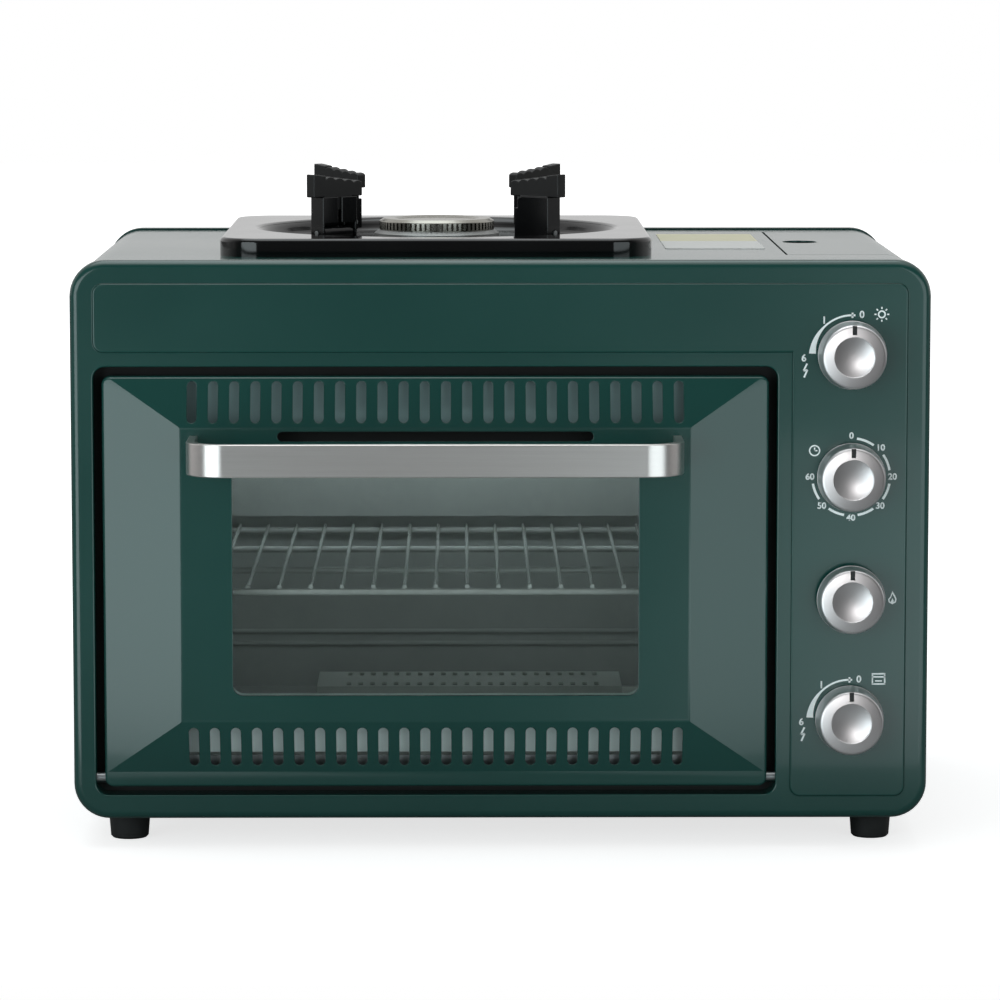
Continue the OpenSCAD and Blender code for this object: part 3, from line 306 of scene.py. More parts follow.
slot_count, slot_pitch, slot_w, slot_h = 24, 12.27 * MM, 5.7 * MM, 23.4 * MM
vent_w, vent_h, vent_r = 183 * MM, 5.8 * MM, 2.88 * MM
window_r, glass_lap = 6 * MM, 7 * MM
window_low, window_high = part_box("window_glass")
window_w = window_high.x - window_low.x - 2 * glass_lap
window_h = window_high.z - window_low.z - 2 * glass_lap
vent_z = flat_high - 4.9 * MM
punches = [
    punch(door_x + (n - (slot_count - 1) / 2) * slot_pitch, z, slot_w, slot_h, slot_w / 2 - SAME)
    for n in range(slot_count)
    for z in (flat_high + top_band / 2, lip_z + low_band / 2)
]
punches.append(punch(door_x, vent_z, vent_w, vent_h, vent_r))
punches.append(punch(door_x, (window_low.z + window_high.z) / 2, window_w, window_h, window_r))
tool = join(punches, "punches")
modify(skin, "BOOLEAN", object=tool, operation="DIFFERENCE", solver="EXACT")
bpy.data.objects.remove(tool)
round_folds(skin, cut_edge, lambda edge: is_fold(edge)
            and any(face.normal.y < -0.85 for face in edge.link_faces), 2)
smooth(skin, 12)
fit(skin, "door", "green_enamel", enamel, "door_skin")

# Door glass: toughened soda-lime glass, cut with round corners and ground at its edge. It is held behind the
# skin by its seal, is faintly grey, and mirrors more as it is seen more on edge.


def oven_glass():
    """Float glass: 4.5 percent of the light is mirrored face on, nearly all of it at a grazing angle."""
    made, tree, place = new_material("toughened_glass")
    grime = add(tree, "TexNoise", {"Vector": place, "Scale": 1 / (40 * MM), "Detail": 4})["Fac"]
    rough = add(tree, "MapRange", {"Value": grime, "To Min": 0.01, "To Max": 0.05})[0]
    tint = add(tree, "Mix", {0: grime, 6: colour("eff3f1"), 7: colour("f6f8f7")}, data_type="RGBA")[2]
    facing = add(tree, "LayerWeight", {"Blend": 0.5})["Facing"]
    bent = add(tree, "Math", {0: facing, 1: 5}, operation="POWER")[0]
    mirror = add(tree, "Math", {0: bent, 1: 0.95, 2: 0.045}, operation="MULTIPLY_ADD")[0]
    through = add(tree, "BsdfTransparent", {"Color": tint})[0]
    gloss = add(tree, "BsdfGlossy", {"Roughness": rough})[0]
    shader = add(tree, "MixShader", {0: mirror, 1: through, 2: gloss})[0]
    add(tree, "OutputMaterial", {"Surface": shader})
    return made


def paint(material, *names):
    """Gives CAD nodes that stay in the scene their finish."""
    for name in names:
        for slot in nodes[name].material_slots:
            slot.material = material


paint(oven_glass(), "window_glass")

# Seal and feet: black nitrile rubber, moulded with a dull skin that holds a little dust. The seal runs round
# the glass behind the skin, and the feet stand under the base plate.


def black_rubber():
    """Moulded rubber: almost no gloss, a fine grain and paler dusty patches."""
    made, tree, place = new_material("moulded_rubber")
    grain = add(tree, "TexNoise", {"Vector": place, "Scale": 1 / (0.6 * MM), "Detail": 3})["Fac"]
    dust = add(tree, "TexNoise", {"Vector": place, "Scale": 1 / (12 * MM), "Detail": 4})["Fac"]
    base = add(tree, "Mix", {0: dust, 6: colour("121313"), 7: colour("1f2121")}, data_type="RGBA")[2]
    skin = add(tree, "Bump", {"Height": grain, "Distance": 0.02 * MM})[0]
    shader = add(tree, "BsdfPrincipled", {"Base Color": base, "Roughness": 0.62, "Normal": skin})[0]
    add(tree, "OutputMaterial", {"Surface": shader})
    return made


paint(black_rubber(), "feet", "window_seal")

# Oven box and the sheets round it: hot-dip aluminised steel, folded and spot-welded. It is grey, soft in its
# reflections and lighter than the enamel round it, with painted shade low down. The frame at the oven's mouth
# is black: painted shade for the dark gap round the door.


def gap_shade_black():
    """Painted shade on the oven's front frame: dull black, for the shade in the gap round the door."""
    made, tree, place = new_material("gap_painted_shade_black")
    cloud = add(tree, "TexNoise", {"Vector": place, "Scale": 1 / (8 * MM), "Detail": 4})["Fac"]
    base = add(tree, "Mix", {0: cloud, 6: colour("0a0b0b"), 7: colour("141515")}, data_type="RGBA")[2]
    shader = add(tree, "BsdfPrincipled", {"Base Color": base, "Roughness": 0.7})[0]
    add(tree, "OutputMaterial", {"Surface": shader})
    return made


def aluminised_steel():
    """Aluminium-silicon coating: satin grey, with a spangle of a few millimetres, and painted shade low down.
    """
    made, tree, place = new_material("aluminised_steel")
    spangle = add(tree, "TexVoronoi", {"Vector": place, "Scale": 1 / (5 * MM)})["Color"]
    cloud = add(tree, "TexNoise", {"Vector": place, "Scale": 1 / (45 * MM), "Detail": 5})["Fac"]
    mixed = add(tree, "Mix", {0: 0.2, 2: cloud, 3: add(tree, "RGBToBW", {"Color": spangle})[0]})[0]
    before_painted_shade = add(tree, "Mix", {0: mixed, 6: colour("b4b8b6"), 7: colour("cfd2d0")}, data_type="RGBA")[2]
    # Painted shade: the coating is darkened towards the bottom, below 190 mm.
    height = add(tree, "SeparateXYZ", {"Vector": place})["Z"]
    painted_shade_low = add(tree, "MapRange", {
        "Value": height, "From Min": 120 * MM, "From Max": 190 * MM, "To Min": 0.3, "To Max": 0,
    })[0]
    base = add(tree, "Mix", {0: painted_shade_low, 6: before_painted_shade, 7: colour("525654")}, data_type="RGBA")[2]
    rough = add(tree, "MapRange", {"Value": mixed, "To Min": 0.42, "To Max": 0.6})[0]
    shader = add(tree, "BsdfPrincipled", {"Base Color": base, "Metallic": 0.5, "Roughness": rough})[0]
    add(tree, "OutputMaterial", {"Surface": shader})
    return made


def door_lining():
    """The coating on the door's inner plate, dulled by fumes, with painted light low and painted shade at the
    vent.
    """
    made, tree, place = new_material("fume_dulled_lining_painted_light_and_shade")
    cloud = add(tree, "TexNoise", {"Vector": place, "Scale": 1 / (25 * MM), "Detail": 4})["Fac"]
    parts = add(tree, "SeparateXYZ", {"Vector": place})
    # Painted shade: black in a band behind the long vent, on the plate's front.
    plate_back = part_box("door_inner")[1].y
    band = add(tree, "Math", {0: parts["Z"], 1: vent_z, 2: 5 * MM}, operation="COMPARE")[0]
    outside = add(tree, "Math", {0: parts["Y"], 1: plate_back - 0.5 * MM}, operation="LESS_THAN")[0]
    painted_shade_behind_vent = add(tree, "Math", {0: band, 1: outside}, operation="MULTIPLY")[0]
    smoky = add(tree, "Mix", {0: cloud, 6: colour("7c9797"), 7: colour("8ba6a5")}, data_type="RGBA")[2]
    # Painted light: the plate is paler towards the bottom, below 200 mm.
    low = add(tree, "MapRange", {
        "Value": parts["Z"], "From Min": 90 * MM, "From Max": 200 * MM, "To Min": 1, "To Max": 0,
    })[0]
    before_painted_shade = add(tree, "Mix", {0: low, 6: smoky, 7: colour("dcebe8")}, data_type="RGBA")[2]
    base = add(tree, "Mix", {0: painted_shade_behind_vent, 6: before_painted_shade, 7: colour("060707")}, data_type="RGBA")[2]
    shader = add(tree, "BsdfPrincipled", {"Base Color": base, "Roughness": 0.5})[0]
    add(tree, "OutputMaterial", {"Surface": shader})
    return made


lining = aluminised_steel()
paint(lining, "rack_guides", "flue_baffle", "partition", "cartridge_bay", "base_plate")
paint(door_lining(), "door_inner")
liner = copy_sheet("oven_liner", "oven_box")
smooth(liner)
fit(liner, "body", "aluminised_steel", lining, "oven_liner")
# The front frame takes the black painted shade of the gap round the door.
liner.data.materials.append(gap_shade_black())
liner_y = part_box("oven_liner")[0].y
pick(liner, "FACE", lambda face: faces_front(face) and middle(face).y < liner_y + MM)
liner.active_material_index = 1
bpy.ops.object.material_slot_assign()

# Rack, screws, hinge parts and shafts: mild steel wire, sheet and bar, bright nickel or zinc plated. The rack
# is welded from wire before it is plated, and slides on the guides.


def plated_steel(name, dark, light, low, high, metallic=1.0):
    """Bright plating over drawn steel: a clear metal whose gloss wanders a little along its length."""
    made, tree, place = new_material(name)
    cloud = add(tree, "TexNoise", {"Vector": place, "Scale": 1 / (9 * MM), "Detail": 4})["Fac"]
    base = add(tree, "Mix", {0: cloud, 6: colour(dark), 7: colour(light)}, data_type="RGBA")[2]
    rough = add(tree, "MapRange", {"Value": cloud, "To Min": low, "To Max": high})[0]
    shader = add(tree, "BsdfPrincipled", {"Base Color": base, "Metallic": metallic, "Roughness": rough})[0]
    add(tree, "OutputMaterial", {"Surface": shader})
    return made


# Bright nickel keeps a clear reflection, and zinc is greyer and duller.
nickel = plated_steel("nickel_plated_wire", "c6c9c8", "dcdedd", 0.2, 0.3, 0.5)
zinc = plated_steel("zinc_plated_steel", "9aa0a2", "b4b8b8", 0.28, 0.42)
paint(nickel, "wire_rack")
paint(zinc, "case_screws", "handle_screws", "door_hinge_rail", "door_hinge_brackets", "hatch_hinge",
      "support_pins", "shaft_stove", "shaft_timer", "shaft_safety", "shaft_oven")

# Gas parts: a die-cast regulator, burner pot and mixing tube, brass valves and pipes, a nylon timer body, a
# ceramic igniter, and the stainless burner tube under its folded spreader in the oven.


def grained_finish(name, dark, light, rough, metallic=1.0):
    """A cast, moulded or sprayed surface: a fine grain from the mould or the gun, and a tone that wanders."""
    made, tree, place = new_material(name)
    grain = add(tree, "TexNoise", {"Vector": place, "Scale": 1 / (0.9 * MM), "Detail": 4})["Fac"]
    cloud = add(tree, "TexNoise", {"Vector": place, "Scale": 1 / (20 * MM), "Detail": 3})["Fac"]
    base = add(tree, "Mix", {0: cloud, 6: colour(dark), 7: colour(light)}, data_type="RGBA")[2]
    skin = add(tree, "Bump", {"Height": grain, "Distance": 0.02 * MM})[0]
    shader = add(tree, "BsdfPrincipled", {
        "Base Color": base, "Metallic": metallic, "Roughness": rough, "Normal": skin,
    })[0]
    add(tree, "OutputMaterial", {"Surface": shader})
    return made


# Brass is warm and rather sharp, die-cast zinc grey and dull, nylon ivory, ceramic glossy, and steel satin.
brass = grained_finish("forged_brass", "a5824a", "bb9a5e", 0.32)
paint(grained_finish("die_cast_zinc", "8b8d8c", "a3a5a4", 0.42), "regulator", "burner_pot", "mixing_tube")
paint(brass, "safety_valve", "oven_valve", "oven_gas_pipe", "stove_gas_pipe")
paint(grained_finish("moulded_nylon", "b9b8b0", "c8c7bf", 0.5, 0.0), "timer_body")
paint(grained_finish("glazed_ceramic", "d9d6cc", "e6e3da", 0.22, 0.0), "igniter")
paint(grained_finish("stainless_burner_steel", "c2c6c2", "d6dad6", 0.3, 0.6), "burner_tube", "flame_spreader")

# Handle: a flat aluminium bar, bent back to the door at both ends, brushed along its length and clear
# anodised. Its long edges are broken, so each shows as a thin bright line.


def brushed_bar():
    """Brushed and anodised aluminium: scratches along the bar spread its reflections up and down."""
    made, tree, place = new_material("brushed_aluminium")
    along = add(tree, "Mapping", {"Vector": place, "Scale": (0.012, 1, 1)})[0]
    fine = add(tree, "TexNoise", {"Vector": along, "Scale": 1 / (0.35 * MM), "Detail": 3})["Fac"]
    broad = add(tree, "TexNoise", {"Vector": along, "Scale": 1 / (2.2 * MM), "Detail": 2})["Fac"]
    mixed = add(tree, "Mix", {0: 0.45, 2: fine, 3: broad})[0]
    base = add(tree, "Mix", {0: mixed, 6: colour("e4dfdc"), 7: colour("f6f2ef")}, data_type="RGBA")[2]
    rough = add(tree, "MapRange", {"Value": mixed, "To Min": 0.32, "To Max": 0.4})[0]
    skin = add(tree, "Bump", {"Height": mixed, "Distance": 0.006 * MM})[0]
    shader = add(tree, "BsdfPrincipled", {
        "Base Color": base, "Metallic": 1, "Roughness": rough, "Normal": skin,
        "Anisotropic": 0.6, "Anisotropic Rotation": 0.25,
    })[0]
    add(tree, "OutputMaterial", {"Surface": shader})
    return made


bar_low, bar_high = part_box("door_handle")
bar_t, bend_r, broken_edge = 5 * MM, 22 * MM, 0.8 * MM


def bend_bar(x):
    """Bends the bar's open end a quarter turn about an upright line at x."""
    centre = (x, bar_low.y + bend_r, 0)
    bpy.ops.mesh.spin(steps=14, angle=radians(-90), center=centre, axis=(0, 0, 1))


def run_bar(x, y):
    """Draws the bar's open end straight on."""
    bpy.ops.mesh.extrude_edges_move(TRANSFORM_OT_translate={"value": (x, y, 0)})


bar = cube_between("handle_bar", Vector((bar_low.x, bar_low.y + bend_r, bar_low.z)),
                   Vector((bar_low.x + bar_t, bar_high.y, bar_high.z)))
pick(bar, "EDGE", runs_back)
bpy.ops.mesh.bevel(offset=broken_edge, segments=3, affect="EDGES")
pick(bar, "FACE", faces_front)
bpy.ops.mesh.delete(type="ONLY_FACE")
pick(bar, "EDGE", lambda edge: edge.is_boundary)
bend_bar(bar_low.x + bend_r)
run_bar(bar_high.x - bar_low.x - 2 * bend_r, 0)
bend_bar(bar_high.x - bend_r)
run_bar(0, bar_high.y - bar_low.y - bend_r)
bpy.ops.mesh.edge_face_add()
bpy.ops.mesh.select_all(action="SELECT")
bpy.ops.mesh.remove_doubles(threshold=0.01 * MM)
bpy.ops.mesh.normals_make_consistent(inside=False)
smooth(bar)
fit(bar, "door", "brushed_handle", brushed_bar(), "door_handle")

# Knobs: die-cast, turned on the face and plated satin silver. Each has a skirt at its back, a slight taper, a
# bright ring round a dished centre, and a black-filled notch at the top that points to the dial.


def satin_plating():
    """Satin nickel on a blasted casting: a soft bright sheen with a faint grain."""
    made, tree, place = new_material("satin_nickel_plating")
    grain = add(tree, "TexNoise", {"Vector": place, "Scale": 1 / (0.4 * MM), "Detail": 2})["Fac"]
    cloud = add(tree, "TexNoise", {"Vector": place, "Scale": 1 / (25 * MM), "Detail": 2})["Fac"]
    base = add(tree, "Mix", {0: cloud, 6: colour("e4e3e4"), 7: colour("efeeef")}, data_type="RGBA")[2]
    rough = add(tree, "MapRange", {"Value": grain, "To Min": 0.38, "To Max": 0.46})[0]
    shader = add(tree, "BsdfPrincipled", {"Base Color": base, "Metallic": 1, "Roughness": rough})[0]
    add(tree, "OutputMaterial", {"Surface": shader})
    return made


def next_ring(centre, run, scale):
    """Draws the face that is selected on by the run, and resizes it about the knob's axis."""
    bpy.ops.mesh.extrude_region_move(TRANSFORM_OT_translate={"value": (0, run, 0)})
    bpy.ops.transform.resize(value=(scale, 1, scale), center_override=(centre.x, 0, centre.z))


def turned_knob(node):
    """Turns a knob from a round blank: skirt, taper, ring and dish, with the notch cut at the top."""
    low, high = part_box(node)
    centre = Vector(((low.x + high.x) / 2, 0, (low.z + high.z) / 2))
    radius, skirt, head = 20, 1.2 * MM, 2.65 * MM
    clear()
    bpy.ops.mesh.primitive_cylinder_add(
        vertices=96, radius=radius * MM, depth=skirt, rotation=(pi / 2, 0, 0),
        location=centre + Vector((0, high.y - skirt / 2, 0)))
    bpy.ops.object.transform_apply()
    made = bpy.context.object
    made.name = made.data.name = node.replace("knob", "dial_knob")
    pick(made, "FACE", faces_front)

    # Skirt's edge, taper, three steps of the round shoulder, sloping ring, and two steps over into the dish.
    # Each is how far it goes in, in mm, the taper's length in m, and how far it comes forward, in mm.
    taper = high.y - low.y - skirt - head
    steps = [(0.2, 0, 0.15), (1.1, taper, 0), (0.3, 0, 0.8), (0.6, 0, 0.6), (0.9, 0, 0.4), (4.9, 0, 0.7),
             (0.35, 0, -0.1), (0.25, 0, -0.35)]
    for draw_in, run, rise in steps:
        next_ring(centre, -run - rise * MM, (radius - draw_in) / radius)
        radius -= draw_in
    rings, sag = 8, 2 * MM
    for n in range(1, rings):
        deeper = sag * ((1 - (1 - n / rings) ** 2) - (1 - (1 - (n - 1) / rings) ** 2))
        next_ring(centre, deeper, (rings - n) / (rings - n + 1))
    bpy.ops.mesh.poke()
    bpy.ops.mesh.select_all(action="SELECT")
    bpy.ops.mesh.normals_make_consistent(inside=False)

    def at_top(x, y, z):
        """A place near the knob's top, in millimetres from its axis and its front."""
        return Vector((centre.x + x * MM, low.y + y * MM, centre.z + z * MM))

    notch_half, notch_deep, notch_from, notch_to = 1.35, 1.9, 12.9, 18.9
    notch = cube_between("notch", at_top(-notch_half, -1, notch_from),
                         at_top(notch_half, notch_deep, notch_to))
    modify(made, "BOOLEAN", object=notch, operation="DIFFERENCE", solver="EXACT")
    bpy.data.objects.remove(notch)
    smooth(made, 25)
    inlay_half, inlay_from, inlay_to = 1.3, 12.95, 18.1
    inlay = cube_between(node.replace("knob", "pointer"), at_top(-inlay_half, 1.45, inlay_from),
                         at_top(inlay_half, 1.85, inlay_to))
    round_folds(inlay, 0.15 * MM, is_fold, 2)
    return made, inlay


# The notch is filled with a black paint, sprayed dull.
plating = satin_plating()
pointer_paint = grained_finish("black_filler_paint", "101111", "1a1b1b", 0.45, 0.0)
turned = []
for body in ("stove_knob", "timer_knob", "safety_button", "oven_knob"):
    node = "knob_" + body.split("_")[0]
    knob, inlay = turned_knob(node)
    fit(knob, body, "knob_silver", plating, node)
    turned.append(knob)
    fit(inlay, body, "black_steel", pointer_paint)

# Dial print: pale ink screened on the enamel. The valves have a thin line that widens to full flame, the
# timer a ring in steps of ten. Plain numbers and signs for burner, oven, clock, spark and flame stand by
# them. Sizes are in millimetres, and angles are clock angles in degrees.


def dial_ink():
    """Screen ink: a matt pale layer, thin enough that its cover varies a little."""
    made, tree, place = new_material("screen_ink")
    cover = add(tree, "TexNoise", {"Vector": place, "Scale": 1 / (1.2 * MM), "Detail": 3})["Fac"]
    base = add(tree, "Mix", {0: cover, 6: colour("dbe6e5"), 7: colour("f4faf9")}, data_type="RGBA")[2]
    shader = add(tree, "BsdfPrincipled", {"Base Color": base, "Roughness": 0.55})[0]
    add(tree, "OutputMaterial", {"Surface": shader})
    return made


ink_t, letter_swell = 0.03, 0.17
ink_y = field_y - ink_t * MM
marks = []


def ink_shape(rings):
    """Fills strips between pairs of points, each pair across the strip, as one flat mark of ink."""
    mesh = bpy.data.meshes.new("ink")
    points = [(x * MM, ink_y, z * MM) for pair in rings for x, z in pair]
    faces = [(2 * n, 2 * n + 1, 2 * n + 3, 2 * n + 2) for n in range(len(rings) - 1)]
    mesh.from_pydata(points, [], faces)
    made = bpy.data.objects.new("ink", mesh)
    bpy.context.scene.collection.objects.link(made)
    marks.append(made)


def ink_arc(x, z, radius, start, end, width, end_width=None):
    """Draws an arc about a dial, from the start to the end clock angle in degrees, which may widen."""
    count = max(3, int(abs(end - start) / 4))
    rings = []
    for n in range(count + 1):
        turn = radians(start + (end - start) * n / count)
        wide = width + ((end_width or width) - width) * n / count
        rings.append([(x + r * sin(turn), z + r * cos(turn)) for r in (radius - wide / 2, radius + wide / 2)])
    ink_shape(rings)


def ink_line(x0, z0, x1, z1, width):
    """Draws a straight line of ink."""
    turn = atan2(z1 - z0, x1 - x0)
    dx, dz = -sin(turn) * width / 2, cos(turn) * width / 2
    ink_shape([[(x + dx, z + dz), (x - dx, z - dz)] for x, z in ((x0, z0), (x1, z1))])


def ink_sign(x, z, strokes, width, scale=1):
    """Draws a sign of straight strokes about a place."""
    for x0, z0, x1, z1 in strokes:
        ink_line(x + x0 * scale, z + z0 * scale, x + x1 * scale, z + z1 * scale, width)


def ink_number(words, x, z, size):
    """Sets a number, centred at x and z."""
    clear()
    bpy.ops.object.text_add(location=(0, 0, 0))
    made = bpy.context.object
    made.data.body = words
    made.data.size = size * MM
    made.data.align_x = "CENTER"
    made.data.align_y = "CENTER"
    made.data.resolution_u = 4
    made.data.offset = letter_swell * MM
    bpy.ops.object.convert(target="MESH")
    made.data.transform(Matrix.Translation((x * MM, ink_y, z * MM)) @ Matrix.Rotation(pi / 2, 4, "X"))
    marks.append(made)


dials = ("knob_stove", "knob_timer", "knob_safety", "knob_oven")
dial_x = [sum(c[0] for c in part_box(n)) / 2 / MM for n in dials]
dial_z = [sum(c[2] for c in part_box(n)) / 2 / MM for n in dials]
valve_r, thin, full, fine = 23.1, 1.1, 4, 0.8
bolt = ((1, 5, -1.3, 0.4), (-1.3, 0.4, 1.2, 0.9), (1.2, 0.9, -1, -4))
for x, z in ((dial_x[0], dial_z[0]), (dial_x[3], dial_z[3])):
    ink_arc(x, z, valve_r, 4, -45, thin)
    ink_arc(x, z, valve_r, -45, -88, thin, full)
    ink_line(x, z + 21.5, x, z + 24.6, thin)
    for words, right, up in (("0", 5.5, 23.3), ("1", -16.4, 20), ("6", -28, -1.9)):
        ink_number(words, x + right, z + up, 5.8)
    ink_sign(x - 27, z - 9.5, bolt, 1, 0.9)

# The burner is a ring with eight rays, and the oven a box with its door.
sign_right, sign_up = 17, 23.6
x, z = dial_x[0] + sign_right, dial_z[0] + sign_up
ink_arc(x, z, 1.9, 0, 360, 0.9)
for n in range(8):
    turn = n * pi / 4
    ink_line(x + 3.1 * sin(turn), z + 3.1 * cos(turn), x + 4.3 * sin(turn), z + 4.3 * cos(turn), fine)
oven_sign = ((-4, 3, 4, 3), (-4, -3, 4, -3), (-3.6, -3, -3.6, 3), (3.6, -3, 3.6, 3), (-4, 1.2, 4, 1.2),
             (-2, -1.2, 2, -1.2))
ink_sign(dial_x[3] + sign_right, dial_z[3] + sign_up, oven_sign, fine)

# The timer's numbers stand in its ring of arcs, and a clock stands at its upper left.
x, z = dial_x[1], dial_z[1]
number_r, arc_r, arc_w, part = 24, 22.6, 1.4, 45
for n, words in enumerate(("0", "10", "20", "30", "40", "50", "60")):
    turn = part * n
    ink_number(words, x + number_r * sin(radians(turn)), z + number_r * cos(radians(turn)), 5.2)
    if n < 6:
        ink_arc(x, z, arc_r, turn + (8 if n == 0 else 10), turn + 35, arc_w)
x, z = x - 21.4, z + 15.4
ink_arc(x, z, 2.9, 0, 360, fine)
ink_sign(x, z, ((0, -0.4, 0, 1.8), (-0.4, 0, 1.6, 0)), fine)

# The safety button has a flame: an outline with a filled heart.
x, z = dial_x[2] + 24.6, dial_z[2]
flame = [(0, 4.2), (1.5, 1.8), (2.5, -0.4), (2.1, -2.4), (0, -3.6), (-2.1, -2.4), (-2.4, -0.6), (-1.2, 0.8),
         (0, 4.2)]
ink_shape([[(x + px, z + pz), (x + px * 0.68, z + (pz + 1) * 0.68 - 1.0)] for px, pz in flame])
ink_shape([[(x + px * 0.34, z + pz * 0.36 - 1.5), (x, z - 1.8)] for px, pz in flame])
printing = join(marks, "dial_printing")
take(printing)
bpy.ops.object.mode_set(mode="EDIT")
bpy.ops.mesh.select_all(action="SELECT")
bpy.ops.mesh.normals_make_consistent(inside=False)
modify(printing, "SOLIDIFY", thickness=ink_t * MM, offset=0)
fit(printing, "body", "knob_silver", dial_ink())

# Drip tray: deep-drawn steel sheet with a rolled edge and a round dish, in black vitreous enamel, which is
# glass fired on the steel. It mirrors the supports, and its drawn edges are soft.


def vitreous_enamel():
    """Black glass enamel: a deep mirror gloss with a very slight wave from the firing."""
    made, tree, place = new_material("black_vitreous_enamel")
    wave = add(tree, "TexNoise", {"Vector": place, "Scale": 1 / (14 * MM), "Detail": 2})["Fac"]
    haze = add(tree, "TexNoise", {"Vector": place, "Scale": 1 / (35 * MM), "Detail": 4})["Fac"]
    base = add(tree, "Mix", {0: haze, 6: colour("08090a"), 7: colour("101112")}, data_type="RGBA")[2]
    rough = add(tree, "MapRange", {"Value": haze, "To Min": 0.06, "To Max": 0.13})[0]
    skin = add(tree, "Bump", {"Height": wave, "Distance": 0.03 * MM})[0]
    shader = add(tree, "BsdfPrincipled", {
        "Base Color": base, "Roughness": rough, "IOR": 1.54, "Normal": skin,
    })[0]
    add(tree, "OutputMaterial", {"Surface": shader})
    return made


tray_low, tray_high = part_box("drip_tray")
tray_x, tray_y = (tray_low.x + tray_high.x) / 2, (tray_low.y + tray_high.y) / 2
dish_r, floor_r, floor_rise = 109 * MM, 104 * MM, 2.2 * MM


def on_ring(edge, radius, z):
    """True for a fold that runs round the dish at a radius and a height."""
    away = [((v.co.x - tray_x) ** 2 + (v.co.y - tray_y) ** 2) ** 0.5 for v in edge.verts]
    level = all(abs(v.co.z - z) < NEAR for v in edge.verts)
    return is_fold(edge, 20) and level and all(abs(r - radius) < 2 * NEAR for r in away)


tray = copy_sheet("drip_tray", "drawn_tray")
round_folds(tray, 3.5 * MM, lambda edge: on_ring(edge, dish_r, tray_high.z), 5)
round_folds(tray, 3 * MM, lambda edge: on_ring(edge, floor_r, tray_low.z + floor_rise), 5)
smooth(tray)
fit(tray, "body", "black_enamel", vitreous_enamel(), "drip_tray")

# Burner cap: cast aluminium, turned on top and milled with a band of fine teeth, where the flame comes out.
# It lies loose on the burner, is grey and rather bright where it is cut, and its tooth edges are just broken.
machined = grained_finish("machined_aluminium", "96948c", "a8a69e", 0.26)
milled_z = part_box("burner_cap")[0].z + 5.2 * MM
cap = copy_sheet("burner_cap", "burner_crown")
round_folds(cap, 0.35 * MM, lambda edge: is_fold(edge, 35) and middle(edge).z > milled_z)
smooth(cap)
fit(cap, "body", "burner_brass", machined, "burner_cap")

# Pan supports: a folded steel leg with a round lug on its pin, and a cast toothed head that carries the pan.
# Both are black, the leg in satin enamel and the head as rougher cast iron.
leg_black = grained_finish("satin_black_enamel", "0a0b0c", "131415", 0.16, 0.0)
head_black = grained_finish("black_cast_iron", "0b0b0b", "191919", 0.5, 0.0)
paint(leg_black, "support_bases")
for n in range(1, 5):
    leg = copy_sheet(f"support_leg_{n}", f"folded_leg_{n}")
    round_folds(leg, tight_bend, is_fold)
    smooth(leg)
    fit(leg, f"support_{n}", "black_steel", leg_black, f"support_leg_{n}")
    head = copy_sheet(f"support_head_{n}", f"toothed_head_{n}")
    round_folds(head, 0.7 * MM, lambda edge: is_fold(edge, 30))
    smooth(head)
    fit(head, f"support_{n}", "black_cast_iron", head_black, f"support_head_{n}")

# Plate on the top between the tray and the hatch: thin printed aluminium, glued down. It is left bare, white
# with a cream end, and semi-gloss. It is made as two halves, one of each colour, that meet at a seam.
plate_t, plate_corner = 0.3 * MM, 3 * MM
plate_low = Vector((101 * MM, field_y + 125.5 * MM, tray_low.z))
plate_high = Vector((161 * MM, field_y + 275.5 * MM, tray_low.z + plate_t))
seam_y = (plate_low.y + plate_high.y) / 2
for name, low, high, dark, light in (
        ("plate_front", plate_low, Vector((plate_high.x, seam_y, plate_high.z)), "e4e6e2", "eeefec"),
        ("plate_back", Vector((plate_low.x, seam_y, plate_low.z)), plate_high, "e3dfb4", "ece8c4")):
    plate = cube_between(name, low, high)
    outer_y = plate_low.y if name == "plate_front" else plate_high.y
    round_folds(plate, plate_corner, lambda edge: at_depth(edge, outer_y, SAME)
                and abs(edge.verts[0].co.z - edge.verts[1].co.z) > NEAR, 6)
    smooth(plate)
    fit(plate, "body", "knob_silver", grained_finish("printed_" + name, dark, light, 0.4, 0.0))

# Camera: a long lens at the photograph's place, a little above the oven and pitched down to it. The lens is
# given as its throw, which is the distance over the width of what it sees.
throw, distance, height = 4.758, 2.75, 0.521
left, pitch_down, turned_right = 0.0224, 6.545, 0.46
view = bpy.data.cameras.new("camera")
view.sensor_width = 36
view.lens = throw * view.sensor_width
camera = bpy.data.objects.new("camera", view)
bpy.context.scene.collection.objects.link(camera)
camera.location = (-left, field_y - distance, height)
camera.rotation_euler = (radians(90 - pitch_down), 0, radians(-turned_right))
bpy.context.scene.camera = camera

# Studio: a pale floor that ends before the camera, soft boxes at both sides of the lens, low at the right and
# overhead, a weak fill at the lens, and a surround that is white behind the oven and dim before it. A small
# lamp lights the oven's back wall. The two boxes at the right leave the knobs to a lamp of their own.


def studio_floor():
    """Matt white floor: it takes the shadow, and runs out to plain white away from the oven."""
    made, tree, place = new_material("white_floor")
    far = add(tree, "VectorMath", {0: place}, operation="LENGTH")["Value"]
    out = add(tree, "MapRange", {
        "Value": far, "From Min": 0.35, "From Max": 0.9, "To Min": 0.72, "To Max": 1.1,
    })[0]
    eye = add(tree, "LightPath", {})["Is Camera Ray"]
    glow = add(tree, "Math", {0: out, 1: eye}, operation="MULTIPLY")[0]
    shade = add(tree, "Mix", {0: eye, 6: colour("a8a8a8"), 7: colour("e8e8e8")}, data_type="RGBA")[2]
    matt = add(tree, "BsdfDiffuse", {"Color": shade})[0]
    lit = add(tree, "Emission", {"Strength": glow})[0]
    add(tree, "OutputMaterial", {"Surface": add(tree, "AddShader", {0: matt, 1: lit})[0]})
    return made


floor = cube_between("studio_floor", Vector((-6, -0.42, -0.02)), Vector((6, 9, 0)))
floor.data.materials.append(studio_floor())


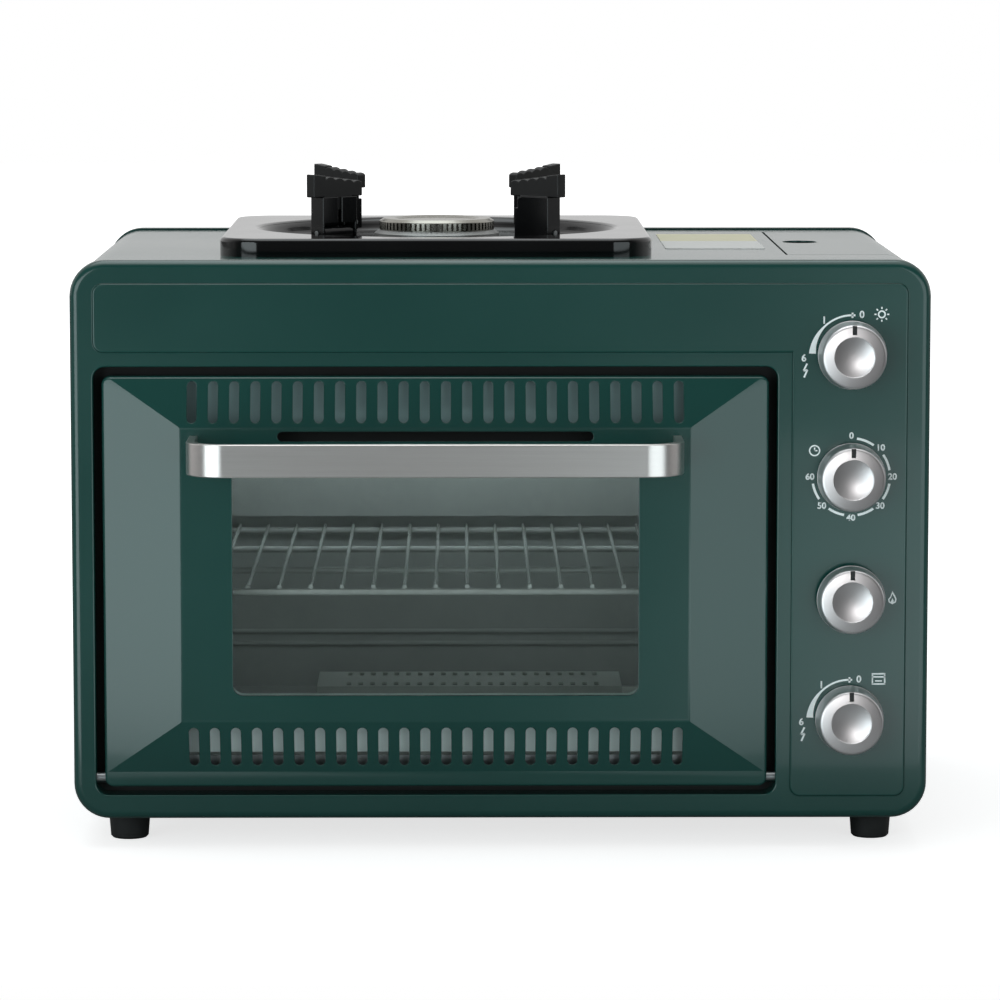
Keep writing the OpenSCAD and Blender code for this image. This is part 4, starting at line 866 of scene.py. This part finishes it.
def soft_box(name, place, aim, width, height, power, tint=(0.86, 0.97, 1.0)):
    """Hangs a rectangular soft box at a place, turned to the aim. Sizes are in metres, and power in watts."""
    lamp = bpy.data.lights.new(name, "AREA")
    lamp.shape = "RECTANGLE"
    lamp.size = width
    lamp.size_y = height
    lamp.energy = power
    lamp.color = tint
    made = bpy.data.objects.new(name, lamp)
    bpy.context.scene.collection.objects.link(made)
    made.location = place
    made.rotation_euler = (Vector(aim) - Vector(place)).to_track_quat("-Z", "Y").to_euler()
    return made


soft_box("left_box", (-1.95, -2.6, 0.05), (-0.3, 0, 0.15), 2.4, 2.6, 50)
right_box = soft_box("right_box", (1.72, -2.6, -0.05), (0.3, 0, 0.15), 2.5, 2.4, 29)
near_box = soft_box("near_box", (0.52, -2.95, -0.4), (0.2, 0, 0.1), 0.4, 0.7, 1.3)
soft_box("top_box", (-0.3, 0.3, 2.4), (0, 0.1, 0.2), 2.0, 1.6, 12)
front_fill = soft_box("front_fill", (0, -3.0, 0.5), (0, 0, 0.15), 0.6, 0.6, 2)
front_fill.visible_glossy = False
lamp_place, lamp_aim = (door_x, 60 * MM, skin_high.z - 4 * MM), (door_x, 0.2, 0.17)
oven_lamp = soft_box("oven_lamp", lamp_place, lamp_aim, 0.3, 0.04, 0.5)
oven_lamp.visible_camera = False
oven_lamp.visible_glossy = False
knob_lamp = soft_box("knob_lamp", (-0.1, -2.9, 0.8), (0.2, 0, 0.2), 0.5, 0.5, 11, (1.0, 0.96, 0.95))
away_from_knobs = bpy.data.collections.new("away_from_knobs")
on_knobs = bpy.data.collections.new("on_knobs")
for knob in turned:
    away_from_knobs.objects.link(knob)
    on_knobs.objects.link(knob)
for entry in away_from_knobs.collection_objects:
    entry.light_linking.link_state = "EXCLUDE"
right_box.light_linking.receiver_collection = away_from_knobs
near_box.light_linking.receiver_collection = away_from_knobs
knob_lamp.light_linking.receiver_collection = on_knobs

world = bpy.data.worlds.new("studio")
bpy.context.scene.world = world
world.use_nodes = True
tree = world.node_tree
tree.nodes.clear()
way = add(tree, "SeparateXYZ", {"Vector": add(tree, "TexCoord", {})["Generated"]})
# Behind is the white wall at the oven's back, and above a bright strip overhead that edges the upper folds.
behind = add(tree, "MapRange", {
    "Value": way["Y"], "From Min": -0.35, "From Max": 0.3, "To Min": 0.08, "To Max": 0.75,
})[0]
above = add(tree, "MapRange", {
    "Value": way["Z"], "From Min": 0.72, "From Max": 0.95, "To Min": 0, "To Max": 1.5,
})[0]
room = add(tree, "Math", {0: behind, 1: above}, operation="MAXIMUM")[0]
path = add(tree, "LightPath", {})
plain = add(tree, "Math", {0: path["Is Camera Ray"], 1: path["Is Transmission Ray"]}, operation="MAXIMUM")[0]
soft = add(tree, "Mix", {0: path["Is Diffuse Ray"], 2: room, 3: 0.3})[0]
strength = add(tree, "Mix", {0: plain, 2: soft, 3: 1.0})[0]
back = add(tree, "Background", {"Color": colour("ffffff"), "Strength": strength})[0]
add(tree, "OutputWorld", {"Surface": back})
bpy.context.scene.view_settings.view_transform = "Standard"
